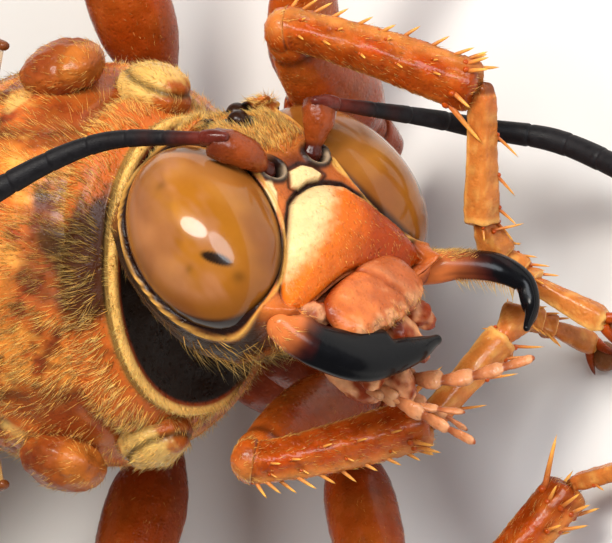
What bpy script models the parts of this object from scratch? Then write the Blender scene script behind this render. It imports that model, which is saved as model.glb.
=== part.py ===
"""A cicada killer wasp, life size, grooming its head with its left front foot.

All lengths below are millimetres in the body's frame: X to the wasp's left, -Y forward,
Z up, with the middle of the thorax at the origin. The meshes are turned into metres and
set on the floor at the end.
"""
import math
import random

import bmesh
import bpy
import numpy as np
from mathutils import Matrix, Vector
from mathutils.geometry import delaunay_2d_cdt

for old in list(bpy.data.objects):
    bpy.data.objects.remove(old, do_unlink=True)

MM = 0.001
GAP = 0.3                       # clearance between neighbouring pieces
FLOOR = -7.0                    # the floor, below the middle of the thorax
BOX_SHIFT = (0.43, -6.62)       # puts the bounding box's middle over the origin
SEED = 17

# The head, turned to the wasp's left and rolled so that its right eye is uppermost
HEAD_CENTRE = (0.6, -6.3, 0.53)
HEAD_TURN, HEAD_NOD, HEAD_ROLL = 27.0, -5.5, 76.0
EYE_RIM = (2.32, -0.94, 0.34)   # middle of the left eye's rim in the head's own frame
EYE_NORMAL = (0.670, -0.684, 0.290)
EYE_TALL, EYE_WIDE, EYE_DEEP = 2.26, 1.62, 1.5
EYE_SUNK, EYE_FLOOR = 0.4, -0.45

WING_SPREAD = 16.0              # degrees between a folded wing's front edge and the body
WING_ROOT = (4.9, 0.75, 2.0)
HINDWING_ROOT = (4.6, 2.1, 1.3)
WING_THICK = 0.5
WING_DROP = 0.60                # the hindwing lies this far below the forewing

FEMUR_SIDES, TARSUS_SIDES = 8, 6

COLOURS = {"amber": (0.55, 0.20, 0.05), "rust": (0.38, 0.11, 0.03), "dark": (0.04, 0.02, 0.015),
           "yellow": (0.80, 0.58, 0.16), "eye": (0.50, 0.24, 0.05), "black": (0.015, 0.014, 0.016),
           "wing": (0.55, 0.33, 0.12), "pale": (0.72, 0.42, 0.28)}


# Small vector helpers

def vec(*values):
    """A numpy vector from three numbers."""
    return np.array(values, float)


def unit(vector):
    """The vector at length one."""
    vector = np.asarray(vector, float)
    return vector / np.linalg.norm(vector)


def blend(start, end, share):
    """The point that lies this share of the way from start to end."""
    return np.asarray(start, float) * (1 - share) + np.asarray(end, float) * share


def mirrored(point, side):
    """The point on the wasp's left for side 1 and on its right for side -1."""
    return vec(point[0] * side, point[1], point[2])


def smooth_step(value):
    """A soft ramp from 0 to 1."""
    value = np.clip(value, 0.0, 1.0)
    return value * value * (3 - 2 * value)


def smooth_rows(rows, count):
    """Rows of numbers resampled along a Catmull-Rom curve through them."""
    rows = np.asarray(rows, float)
    padded = np.vstack([2 * rows[0] - rows[1], rows, 2 * rows[-1] - rows[-2]])
    result = []
    for place in np.linspace(0, len(rows) - 1, count):
        index = min(int(place), len(rows) - 2)
        t = place - index
        p0, p1, p2, p3 = padded[index:index + 4]
        result.append(0.5 * (2 * p1 + (p2 - p0) * t + (2 * p0 - 5 * p1 + 4 * p2 - p3) * t * t
                             + (3 * p1 - p0 - 3 * p2 + p3) * t ** 3))
    return np.array(result)


HEAD_AXES = np.array((Matrix.Rotation(math.radians(HEAD_TURN), 3, "Z")
                      @ Matrix.Rotation(math.radians(HEAD_NOD), 3, "X")
                      @ Matrix.Rotation(math.radians(HEAD_ROLL), 3, "Y")))


def on_head(points):
    """Points of the head's own frame (left, back, up of the head) in the body's frame."""
    return np.asarray(points, float) @ HEAD_AXES.T + np.array(HEAD_CENTRE)


# Meshes and solid operations

def solid(name, vertices, faces, colour="amber", roughness=0.4):
    """One closed object from its points and faces, with its own material."""
    mesh = bpy.data.meshes.new(name)
    mesh.from_pydata([tuple(float(value) for value in point) for point in vertices], [], faces)
    shape = bmesh.new()
    shape.from_mesh(mesh)
    bmesh.ops.recalc_face_normals(shape, faces=shape.faces)
    shape.to_mesh(mesh)
    shape.free()
    obj = bpy.data.objects.new(name, mesh)
    bpy.context.scene.collection.objects.link(obj)
    finish = bpy.data.materials.new(name + "_finish")
    finish.use_nodes = True
    shader = finish.node_tree.nodes["Principled BSDF"]
    shader.inputs["Base Color"].default_value = (*COLOURS[colour], 1.0)
    shader.inputs["Roughness"].default_value = roughness
    mesh.materials.append(finish)
    return obj


def loft(name, rings, start_pole=None, end_pole=None, colour="amber", roughness=0.4):
    """A closed skin over rings of points; each end closes on a pole or on a flat cap."""
    count = len(rings[0])
    vertices = [point for ring in rings for point in ring]
    faces = []
    for row in range(len(rings) - 1):
        for k in range(count):
            a, b = row * count + k, row * count + (k + 1) % count
            faces.append((a, b, b + count, a + count))
    last = (len(rings) - 1) * count
    for first, pole in ((0, start_pole), (last, end_pole)):
        ring = [first + k for k in range(count)]
        if pole is None:
            faces.append(tuple(ring))
        else:
            vertices.append(pole)
            faces += [(ring[k], ring[(k + 1) % count], len(vertices) - 1) for k in range(count)]
    return solid(name, vertices, faces, colour, roughness)


def ellipsoid(name, centre, radii, turn=(0, 0, 0), sides=12, rows=7, colour="amber", axes=None):
    """A closed ellipsoid, turned by degrees about X, Y and Z or set on three given axes."""
    if axes is None:
        angles = [math.radians(value) for value in turn]
        axes = np.array(Matrix.Rotation(angles[2], 3, "Z") @ Matrix.Rotation(angles[1], 3, "Y")
                        @ Matrix.Rotation(angles[0], 3, "X"))
    around = np.arange(sides) * 2 * math.pi / sides
    rings = []
    for k in range(1, rows):
        polar = math.pi * k / rows
        local = np.stack([np.cos(around) * math.sin(polar), np.sin(around) * math.sin(polar),
                          np.full(sides, -math.cos(polar))], 1)
        rings.append(local * radii @ axes.T + centre)
    low, high = [np.array([0, 0, end]) * radii @ axes.T + centre for end in (-1, 1)]
    return loft(name, rings, low, high, colour)


class Tube:
    """A limb along rows of (x, y, z, side radius, other radius) with rounded ends."""

    def __init__(self, rows, outward, samples=0, sides=8, ends=(1.0, 1.0)):
        rows = np.asarray(rows, float)
        self.rows = smooth_rows(rows, samples) if samples else rows
        self.path = self.rows[:, :3]
        self.tangents = np.gradient(self.path, axis=0)
        self.tangents /= np.linalg.norm(self.tangents, axis=1)[:, None]
        side = np.asarray(outward, float)
        self.side = np.array([unit(side - tangent * (side @ tangent)) for tangent in self.tangents])
        self.other = np.cross(self.tangents, self.side)
        self.sides, self.ends = sides, ends

    def ring(self, index, swell=1.0, along=0.0):
        """One ring of points, swollen by a factor and moved along the limb."""
        angles = np.arange(self.sides) * 2 * math.pi / self.sides
        across, up = self.rows[index, 3] * swell, self.rows[index, 4] * swell
        return (self.path[index] + self.tangents[index] * along
                + np.outer(np.cos(angles) * across, self.side[index])
                + np.outer(np.sin(angles) * up, self.other[index]))

    def build(self, name, colour="amber", roughness=0.4):
        """The closed mesh, with each end rounded by one smaller ring and a pole."""
        first, last = (min(self.rows[k, 3:5]) * self.ends[k] for k in (0, -1))
        rings = [self.ring(0, 0.72, -first * 0.62)]
        rings += [self.ring(k) for k in range(len(self.rows))]
        rings.append(self.ring(-1, 0.72, last * 0.62))
        start = self.path[0] - self.tangents[0] * first * 0.95
        end = self.path[-1] + self.tangents[-1] * last * 0.95
        return loft(name, rings, start, end, colour, roughness)

    def surface(self, share, degrees):
        """A point on the limb's skin, its outward direction and the direction of the limb."""
        place = share * (len(self.rows) - 1)
        index = min(int(place), len(self.rows) - 2)
        row, tangent, side, other = [blend(table[index], table[index + 1], place - index)
                                     for table in (self.rows, self.tangents, self.side, self.other)]
        angle = math.radians(degrees)
        offset = side * math.cos(angle) * row[3] + other * math.sin(angle) * row[4]
        return row[:3] + offset, unit(offset), unit(tangent)


def keep_largest(mesh):
    """Leave only the closed surface that holds the most volume."""
    shape = bmesh.new()
    shape.from_mesh(mesh)
    todo, groups = set(shape.verts), []
    while todo:
        stack, group = [todo.pop()], set()
        while stack:
            vertex = stack.pop()
            group.add(vertex)
            for edge in vertex.link_edges:
                other = edge.other_vert(vertex)
                if other in todo:
                    todo.discard(other)
                    stack.append(other)
        groups.append(group)

    def volume(group):
        total = 0.0
        for face in {face for vertex in group for face in vertex.link_faces}:
            first = face.verts[0].co
            for a, b in zip(face.verts[1:-1], face.verts[2:]):
                total += first.dot(a.co.cross(b.co)) / 6
        return total

    groups.sort(key=volume, reverse=True)
    loose = [vertex for group in groups[1:] for vertex in group]
    bmesh.ops.delete(shape, geom=loose, context="VERTS")
    shape.to_mesh(mesh)
    shape.free()


def closed_volume(mesh):
    """The volume inside the mesh, or 0 where some edge doesn't join exactly two faces."""
    shape = bmesh.new()
    shape.from_mesh(mesh)
    closed = all(len(edge.link_faces) == 2 for edge in shape.edges)
    volume = shape.calc_volume(signed=True) if closed else 0.0
    shape.free()
    return volume


def boolean(target, pieces, operation):
    """Join the pieces to the target, or cut them out of it, and remove them."""
    tools = bpy.data.collections.new(target.name + "_tools")
    bpy.context.scene.collection.children.link(tools)
    for piece in pieces:
        for owner in list(piece.users_collection):
            owner.objects.unlink(piece)
        tools.objects.link(piece)
    modifier = target.modifiers.new("solid", "BOOLEAN")
    modifier.operation = operation
    modifier.operand_type = "COLLECTION"
    modifier.collection = tools
    least = closed_volume(target.data) * (0.1 if operation == "DIFFERENCE" else 0.999)
    for solver in ("EXACT", "MANIFOLD"):
        modifier.solver = solver
        scene_graph = bpy.context.evaluated_depsgraph_get()
        result = bpy.data.meshes.new_from_object(target.evaluated_get(scene_graph))
        if closed_volume(result) > least:
            break
    else:
        raise RuntimeError(f"{target.name} does not stay whole")
    target.modifiers.clear()
    finish = target.data.materials[0]
    target.data = result
    target.data.materials.clear()
    target.data.materials.append(finish)
    keep_largest(target.data)
    for piece in list(tools.objects):
        bpy.data.objects.remove(piece, do_unlink=True)
    bpy.data.collections.remove(tools)


def unite(target, pieces):
    """Fuse the pieces to the target."""
    if pieces:
        boolean(target, pieces, "UNION")


def grown(obj, margin=GAP):
    """A copy of the object with its skin moved outward by the margin."""
    mesh = obj.data.copy()
    points = np.array([vertex.co[:] for vertex in mesh.vertices])
    normals = np.array([vertex.normal[:] for vertex in mesh.vertices])
    mesh.vertices.foreach_set("co", (points + normals * margin).ravel())
    copy = bpy.data.objects.new(obj.name + "_grown", mesh)
    bpy.context.scene.collection.objects.link(copy)
    return copy


def make_room(target, *neighbours):
    """Cut the target clear of its neighbours by the gap."""
    boolean(target, [grown(neighbour) for neighbour in neighbours], "DIFFERENCE")


# Spines and claws

def spine(root, direction, length, radius, bend=None):
    """One tapered spine with four sides, its root sunk below the surface."""
    direction = unit(direction)
    bend = vec(0, 0, 0) if bend is None else np.asarray(bend, float)
    start = np.asarray(root, float) - direction * radius * 1.2
    side = unit(np.cross(direction, vec(0.31, 0.52, 0.79)))
    other = np.cross(direction, side)
    rings = []
    for share, size in ((0.0, 1.0), (0.55, 0.72)):
        middle = start + direction * (length + radius * 1.2) * share + bend * share * share * length
        rings.append([middle + (side * math.cos(angle) + other * math.sin(angle)) * radius * size
                      for angle in np.arange(4) * math.pi / 2])
    tip = np.asarray(root, float) + direction * length + bend * length
    return loft("spine", rings, None, tip)


def spine_row(limb, draw, count, first, last, degrees, length, radius, lean=0.7, fan=8.0):
    """A row of spines along a limb, each a little different, leaning towards its foot."""
    row = []
    for k in range(count):
        share = first + (last - first) * k / max(count - 1, 1) + draw.uniform(-0.012, 0.012)
        point, out, along = limb.surface(min(share, 1.0), degrees + draw.uniform(-fan, fan))
        aim = unit(out + along * (lean + draw.uniform(-0.1, 0.1)))
        size = length * draw.uniform(0.85, 1.15)
        if point[2] + aim[2] * size > FLOOR + 0.1:
            row.append(spine(point, aim, size, radius))
    return row


# Head

def eye_plane(x, z):
    """How far back the plane of the eye's rim lies at this place on the head."""
    slope_x, slope_z = -EYE_NORMAL[0] / EYE_NORMAL[1], -EYE_NORMAL[2] / EYE_NORMAL[1]
    return EYE_RIM[1] + slope_x * (x - EYE_RIM[0]) + slope_z * (z - EYE_RIM[2])


HEAD_ROWS = (   # height, front of the face, half width of the face, half width, side, back
    (2.62, -0.75, 0.70, 1.30, 0.05, 0.55),
    (2.25, -1.25, 1.10, 2.20, 0.30, 0.95),
    (1.55, -1.75, 1.25, 3.00, 0.40, 1.15),
    (0.85, -2.05, 1.20, 3.35, 0.40, 1.20),
    (0.20, -2.15, 1.22, 3.50, 0.35, 1.25),
    (-0.50, -2.20, 1.38, 3.45, 0.15, 1.20),
    (-1.20, -2.15, 1.70, 3.25, -0.10, 1.10),
    (-1.80, -1.95, 1.95, 2.90, -0.30, 0.90),
    (-2.25, -1.60, 1.80, 2.45, -0.40, 0.60))


def head_ring(height, front, face, half, side, back):
    """One level of the head: flat face, a facet for each eye, rounded temples, hollow back."""
    right = [(0.62 * face, front + 0.04), (face, max(front + 0.12, eye_plane(face, height) - 0.1)),
             (0.5 * (face + half), eye_plane(0.5 * (face + half), height)),
             (half * 0.97, min(side, eye_plane(half, height))), (half, 0.5 * (side + back)),
             (half * 0.72, back)]
    outline = [(0.0, front)] + right + [(0.0, back - 0.15)] + [(-x, y) for x, y in reversed(right)]
    return on_head([(x, y, height) for x, y in outline])


def clypeus_plate():
    """The shield above the mouth, raised from the face, wide below with a hollow edge."""
    rows, columns = 6, 9
    front, rear = [], []
    for i in range(rows):
        down = i / (rows - 1)
        half = 0.82 + 1.24 * down ** 0.8
        for j in range(columns):
            across = -1 + 2 * j / (columns - 1)
            height = 0.16 - 2.1 * down + (0.18 * down - 0.14) * across ** 2 * down
            dome = 0.26 * (1 - abs(across) ** 3) * (1 - abs(2 * down - 0.9) ** 3 * 0.8)
            depth = -2.18 - dome + 0.12 * down + 0.30 * down * abs(across) ** 2
            front.append((half * across, depth, height))
            rear.append((half * across * 0.94, depth + 0.9, height))
    points = on_head(front + rear)
    size = rows * columns
    faces = []
    for i in range(rows - 1):
        for j in range(columns - 1):
            a = i * columns + j
            faces.append((a, a + 1, a + columns + 1, a + columns))
            faces.append((size + a, size + a + columns, size + a + columns + 1, size + a + 1))
    border = [j for j in range(columns)]
    border += [i * columns + columns - 1 for i in range(1, rows)]
    border += [(rows - 1) * columns + j for j in range(columns - 2, -1, -1)]
    border += [i * columns for i in range(rows - 2, 0, -1)]
    for a, b in zip(border, border[1:] + border[:1]):
        faces.append((a, b, size + b, size + a))
    return solid("clypeus", points, faces)


def make_eye(side):
    """A domed compound eye with a flat floor inside the head."""
    name = "eye_left" if side > 0 else "eye_right"
    normal = unit(EYE_NORMAL)
    tall = unit(vec(0, 0, 1) - normal * normal[2])
    wide = np.cross(normal, tall)
    centre = np.array(EYE_RIM) - normal * EYE_SUNK
    around = np.arange(18) * 2 * math.pi / 18
    rings = []
    start = math.asin((EYE_FLOOR + EYE_SUNK) / EYE_DEEP)
    for angle in np.linspace(start, math.pi / 2, 7)[:-1]:
        flat = (np.outer(np.cos(around) * EYE_TALL, tall) + np.outer(np.sin(around) * EYE_WIDE, wide))
        ring = centre + flat * math.cos(angle) + normal * EYE_DEEP * math.sin(angle)
        rings.append(on_head(ring * (side, 1, 1)))
    pole = on_head((centre + normal * EYE_DEEP) * (side, 1, 1))
    return loft(name, rings, None, pole, "eye", 0.15)


def head_tube(name, rows, outward, samples=0, sides=8, ends=(1.0, 1.0), colour="amber"):
    """A tube given in the head's own frame."""
    table = np.asarray(rows, float)
    placed = np.hstack([on_head(table[:, :3]), table[:, 3:]])
    limb = Tube(placed, HEAD_AXES @ np.asarray(outward, float), samples, sides, ends)
    return limb.build(name, colour)


def beaded(points, radius, segments):
    """Rows for a palp: each segment swells in its middle and narrows at its joint."""
    path = smooth_rows(points, 2 * segments + 1)
    sizes = [radius * (0.72 if k % 2 == 0 else 1.0) for k in range(len(path))]
    return [(*point, size, size * 0.9) for point, size in zip(path, sizes)]


def make_mouth(head, eyes):
    """Labrum, mandibles and the mouth parts with their palps."""
    labrum = ellipsoid("labrum", on_head((0.1, -2.28, -2.6)), (1.30, 0.40, 0.72),
                       axes=HEAD_AXES @ np.array(Matrix.Rotation(math.radians(-12), 3, "Y")),
                       colour="amber")
    right = head_tube("mandible_right", (
        (-2.20, -1.35, -2.60, 0.46, 0.40), (-1.78, -1.58, -3.15, 0.50, 0.44),
        (-0.95, -1.90, -3.84, 0.48, 0.40), (0.08, -2.22, -4.16, 0.36, 0.32),
        (0.95, -2.35, -4.16, 0.12, 0.12)), (0.5, 0, 1), 12, 8, (1.0, 1.0), "black")
    left = head_tube("mandible_left", (
        (2.40, -1.55, -2.30, 0.40, 0.36), (2.75, -1.98, -2.62, 0.42, 0.38),
        (3.25, -2.45, -3.05, 0.38, 0.34), (3.62, -2.58, -3.60, 0.30, 0.28),
        (3.45, -2.55, -4.20, 0.24, 0.24), (3.02, -2.60, -4.55, 0.10, 0.10)),
        (0, -1, 0.3), 14, 8, (1.0, 1.0), "black")
    mouth = ellipsoid("mouthparts", on_head((0.0, -0.75, -3.2)), (1.0, 0.62, 1.35),
                      axes=HEAD_AXES, colour="pale")
    palps = [
        ([(0.35, -0.85, -4.0), (0.7, -1.79, -4.75), (1.1, -2.48, -5.12), (1.85, -3.7, -5.55)], 0.27, 5),
        ([(-0.25, -0.95, -4.2), (-0.1, -1.91, -5.58), (0.0, -2.6, -6.5)], 0.25, 4),
        ([(0.5, -0.6, -4.0), (0.95, -0.9, -5.0), (1.3, -1.2, -5.9)], 0.25, 4),
        ([(-0.45, -0.8, -4.1), (0.0, -1.5, -5.0), (0.45, -2.3, -5.75)], 0.25, 4)]
    pieces = [head_tube("palp", beaded(points, radius, segments), (1, 0, 0), 0, 6)
              for points, radius, segments in palps]
    for piece in (right, left, labrum, mouth):
        make_room(head, piece)
    make_room(labrum, right, left)
    make_room(mouth, right, left, labrum)
    unite(mouth, pieces)
    make_room(right, eyes[1])
    make_room(left, eyes[0])
    return labrum, right, left, mouth


def make_head():
    """Head capsule with its face shield, ocelli and the eyes and mouth set into it."""
    head = loft("head", [head_ring(*row) for row in HEAD_ROWS],
                on_head((0, -0.2, 2.80)), on_head((0, -0.6, -2.55)), "amber", 0.45)
    extras = [clypeus_plate()]
    for x, y, z in ((0.0, -1.12, 2.3), (0.62, -0.55, 2.62), (-0.62, -0.55, 2.62)):
        extras.append(ellipsoid("ocellus", on_head((x, y, z)), (0.3, 0.3, 0.3), sides=8, rows=5))
    unite(head, extras)
    eyes = [make_eye(side) for side in (1, -1)]
    make_room(head, *eyes)
    return head, eyes, make_mouth(head, eyes)


def flagellum(name, path, start, end, segments, radii):
    """A run of feeler segments, each a little narrower at its base."""
    rows = []
    for k in range(segments):
        for share, size in ((0.06, 0.88), (0.94, 1.0)):
            place = start + (end - start) * (k + share) / segments
            radius = blend(radii[0], radii[1], place) * size
            rows.append((*smooth_at(path, place), radius, radius))
    return Tube(rows, (0, 0.2, 1), 0, 7, (0.7, 0.7)).build(name, "black", 0.5)


def smooth_at(points, share):
    """One point of the smooth curve through the given points."""
    dense = smooth_rows(points, 81)
    lengths = np.concatenate([[0], np.cumsum(np.linalg.norm(np.diff(dense, axis=0), axis=1))])
    return np.array([np.interp(share * lengths[-1], lengths, dense[:, axis]) for axis in range(3)])


def make_antennae(head, eyes):
    """Scape, pedicel and a flagellum of eleven segments on each side."""
    sockets = {"left": (0.66, -1.85, 0.82), "right": (-0.66, -1.85, 0.82)}
    bends = {"left": ((0.9, -2.34, 1.35), (1.12, -2.50, 1.78)),
             "right": ((-1.28, -2.30, 1.24), (-1.83, -2.11, 1.81))}
    runs = {"left": ((3.48, -7.97, -0.10), (3.20, -8.41, -2.46), (2.98, -8.91, -3.62),
                     (2.72, -10.15, -4.55), (2.17, -11.65, -4.87), (1.52, -13.17, -4.91),
                     (0.74, -14.8, -4.80)),
            "right": ((2.72, -7.29, 3.11), (2.63, -4.80, 3.94), (1.63, -3.04, 5.29),
                      (0.43, -1.90, 6.40), (-0.98, -1.30, 7.20), (-2.50, -1.00, 7.80))}
    made = []
    for side, socket in sockets.items():
        first, second = bends[side]
        path = np.array(runs[side])
        rows = [(*on_head(socket), 0.28, 0.28), (*on_head(first), 0.38, 0.36),
                (*on_head(second), 0.35, 0.33)]
        scape = Tube(rows, (0, 0, 1), 5, 8, (0.8, 0.8)).build("scape_" + side, "rust")
        make_room(head, scape)
        make_room(eyes[0] if side == "left" else eyes[1], scape)
        ahead = unit(path[1] - path[0])
        pedicel = Tube([(*(path[0] - ahead * 0.5), 0.22, 0.22), (*(path[0] - ahead * 0.15), 0.31, 0.31)],
                       (0, 0, 1), 0, 8, (0.9, 0.9)).build("pedicel")
        unite(scape, [pedicel])
        inner = flagellum("flagellum_inner_" + side, path, 0.0, 0.55, 5, (0.27, 0.30))
        outer = flagellum("flagellum_outer_" + side, path, 0.55, 1.0, 6, (0.27, 0.30))
        make_room(outer, inner)
        make_room(inner, scape)
        made += [scape, inner, outer]
    return made


# Thorax

def body_ring(y, half, top, bottom, power=2.2, sides=24):
    """A level of the body: a rounded oblong between its top and its bottom."""
    angles = np.arange(sides) * 2 * math.pi / sides
    wave = lambda value: np.sign(value) * np.abs(value) ** (2 / power)
    middle, tall = 0.5 * (top + bottom), 0.5 * (top - bottom)
    return np.stack([half * wave(np.cos(angles)), np.full(sides, y),
                     middle + tall * wave(np.sin(angles))], 1)


def body_part(name, rows, start, end, colour, count=0, power=2.2, sides=24):
    """A rounded piece of the body along its length, closed on a point at each end."""
    table = smooth_rows(rows, count) if count else np.asarray(rows, float)
    rings = [body_ring(*row, power=power, sides=sides) for row in table]
    return loft(name, rings, vec(*start), vec(*end), colour, 0.5)


def make_thorax():
    """Mesothorax, scutellum, propodeum, collar, underside and the small covers of the wings."""
    thorax = body_part("thorax", ((-3.0, 2.6, 2.3, -2.7), (-2.5, 3.4, 2.85, -3.4), (-1.2, 4.2, 3.6, -4.05),
                                  (0.5, 4.5, 3.9, -4.2), (2.2, 4.25, 3.75, -4.0), (3.5, 3.8, 3.3, -3.5),
                                  (4.2, 3.1, 2.7, -2.9)),
                       (0, -3.25, -0.2), (0, 4.5, 0), "rust", 10)
    rear = body_part("propodeum", ((3.9, 3.2, 2.9, -2.9), (4.6, 3.45, 2.95, -2.95), (5.4, 3.0, 2.3, -2.6),
                                   (6.1, 2.1, 1.2, -2.2), (6.6, 1.1, 0.3, -1.6)),
                     (0, 3.7, 0), (0, 6.8, -0.6), "rust", 6, 2.2, 20)
    cushion = ellipsoid("scutellum", vec(0, 3.35, 3.05), (2.3, 0.95, 0.95), (14, 0, 0), 14, 8, "rust")
    under = ellipsoid("propleura", vec(0, -3.7, -2.2), (2.0, 1.5, 1.75), (0, 0, 0), 14, 8, "dark")
    collar = body_part("pronotum", ((-4.35, 0.95, 0.65, -1.15), (-3.85, 1.25, 0.95, -1.4),
                                    (-3.55, 2.0, 1.55, -1.8), (-3.42, 2.9, 2.2, -2.1),
                                    (-3.25, 3.4, 2.65, -2.35), (-2.85, 3.75, 2.95, -2.5),
                                    (-2.35, 3.85, 3.0, -2.6)),
                       (0, -4.45, -0.25), (0, -2.1, 0), "yellow", 0, 2.1, 20)
    lobes = [ellipsoid("lobe", mirrored((3.85, -2.3, 0.2), side), (0.62, 1.0, 0.72),
                       (0, 0, -14 * side), 10, 6) for side in (1, -1)]
    unite(collar, lobes)
    covers = [ellipsoid("tegula_left" if side > 0 else "tegula_right", mirrored((4.45, -0.7, 1.5), side),
                        (0.62, 1.15, 0.85), (0, -25 * side, 6 * side), 12, 7, "rust") for side in (1, -1)]
    for cover in covers:
        make_room(cover, thorax)
    make_room(rear, thorax)
    make_room(cushion, thorax, rear)
    make_room(collar, thorax)
    make_room(under, thorax)
    make_room(collar, under)
    return thorax, rear, cushion, under, collar, covers


ABDOMEN_ROWS = (   # start, end, half widths, heights of the middle, for the six segments
    (6.2, 11.0, 0.75, 4.1, -0.7, -1.0),
    (11.0, 15.3, 4.2, 5.0, -1.0, -1.15),
    (15.3, 19.2, 4.95, 4.75, -1.15, -1.3),
    (19.2, 22.6, 4.6, 4.0, -1.3, -1.55),
    (22.6, 25.6, 3.85, 2.8, -1.55, -1.95),
    (25.6, 28.6, 2.6, 0.5, -1.95, -2.6))


def make_abdomen():
    """Six overlapping rings, widest at the second and third, drooping to the tip."""
    segments = []
    for number, (start, end, front, rear, front_z, rear_z) in enumerate(ABDOMEN_ROWS, 1):
        rows = []
        for share in (0.0, 0.12, 0.35, 0.65, 0.9, 1.0):
            swell = 0.22 * math.sin(math.pi * share ** 0.8)
            if number == 1:
                swell = -0.35 * math.sin(2 * math.pi * share)
            if number == 6:
                swell = 0.55 * math.sin(math.pi * share)
            half = blend(front, rear, share) + swell - (0.12 if share == 0.0 else 0.0)
            middle = blend(front_z, rear_z, share)
            tall = half * 0.76
            y = blend(start + 0.5 * GAP, end - 0.5 * GAP, share)
            rows.append((y, half, middle + tall * 0.92, middle - tall * 1.05))
        rings = [body_ring(*row, power=2.1, sides=22) for row in rows]
        first, last = rows[0], rows[-1]
        if number < 6:
            piece = loft(f"abdomen_{number}", rings, None, None, "amber", 0.35)
        else:
            tip = vec(0, last[0] + 0.35, 0.5 * (last[2] + last[3]) - 0.05)
            piece = loft(f"abdomen_{number}", rings, None, tip, "amber", 0.35)
        segments.append(piece)
    return segments


# Wings

def wing_outline(length, width, belly, count=20):
    """Points round a wing: a gently bowed front edge, a broad round tip, a rounded rear edge."""
    shares = np.sin(np.linspace(0, 0.5 * math.pi, count))
    apex = 0.40 * width
    nose = np.clip((shares - 0.78) / 0.22, 0, 1)
    tail = np.clip((shares - belly) / (1 - belly), 0, 1)
    lead = -0.035 * width * np.sin(math.pi * shares) + apex * (1 - np.sqrt(1 - nose ** 2.2))
    chord = width * (0.09 + 0.91 * smooth_step(shares / belly))
    trail = apex + (chord - apex) * np.sqrt(1 - tail ** 2.2)
    front = np.stack([shares * length, lead], 1)
    rear = np.stack([shares * length, trail], 1)[::-1]
    return np.vstack([front, rear[1:]])


FOREWING_VEINS = (   # points as shares of the length and of the width
    ((0.01, 0.05), (0.25, 0.02), (0.50, 0.01), (0.66, 0.03)),
    ((0.66, 0.03), (0.76, 0.09), (0.88, 0.10)),
    ((0.66, 0.03), (0.70, 0.16), (0.78, 0.22), (0.88, 0.10)),
    ((0.01, 0.10), (0.20, 0.20), (0.40, 0.33), (0.60, 0.42), (0.75, 0.46)),
    ((0.40, 0.33), (0.47, 0.22), (0.60, 0.22), (0.70, 0.20)),
    ((0.55, 0.22), (0.58, 0.41)),
    ((0.66, 0.21), (0.68, 0.44)),
    ((0.40, 0.33), (0.43, 0.55), (0.56, 0.62), (0.58, 0.41)),
    ((0.43, 0.55), (0.45, 0.76)),
    ((0.56, 0.62), (0.66, 0.72), (0.68, 0.44)),
    ((0.02, 0.12), (0.12, 0.28), (0.24, 0.50), (0.38, 0.75)))

HINDWING_VEINS = (
    ((0.01, 0.06), (0.25, 0.04), (0.50, 0.05), (0.60, 0.06)),
    ((0.50, 0.05), (0.60, 0.22), (0.78, 0.26)),
    ((0.01, 0.10), (0.20, 0.26), (0.36, 0.42), (0.60, 0.22)),
    ((0.36, 0.42), (0.50, 0.56), (0.66, 0.62)),
    ((0.02, 0.12), (0.14, 0.40), (0.28, 0.66)))


def polyline_distance(points, lines):
    """The distance of each point from the nearest of the lines."""
    nearest = np.full(len(points), 1e9)
    for line in lines:
        for a, b in zip(line[:-1], line[1:]):
            along = np.clip(((points - a) @ (b - a)) / max((b - a) @ (b - a), 1e-9), 0, 1)
            foot = a + along[:, None] * (b - a)
            nearest = np.minimum(nearest, np.linalg.norm(points - foot, axis=1))
    return nearest


def wing_height(along, across, drop):
    """The height of the folded wing above its root: it climbs over the body and droops at its tip."""
    climb = smooth_step(along / 9.0)
    droop = np.clip((along - 14.0) / 15.0, 0, None)
    return 1.35 * climb + 0.19 * across * climb - 1.5 * droop ** 2 - drop * smooth_step(along / 5.0)


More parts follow.
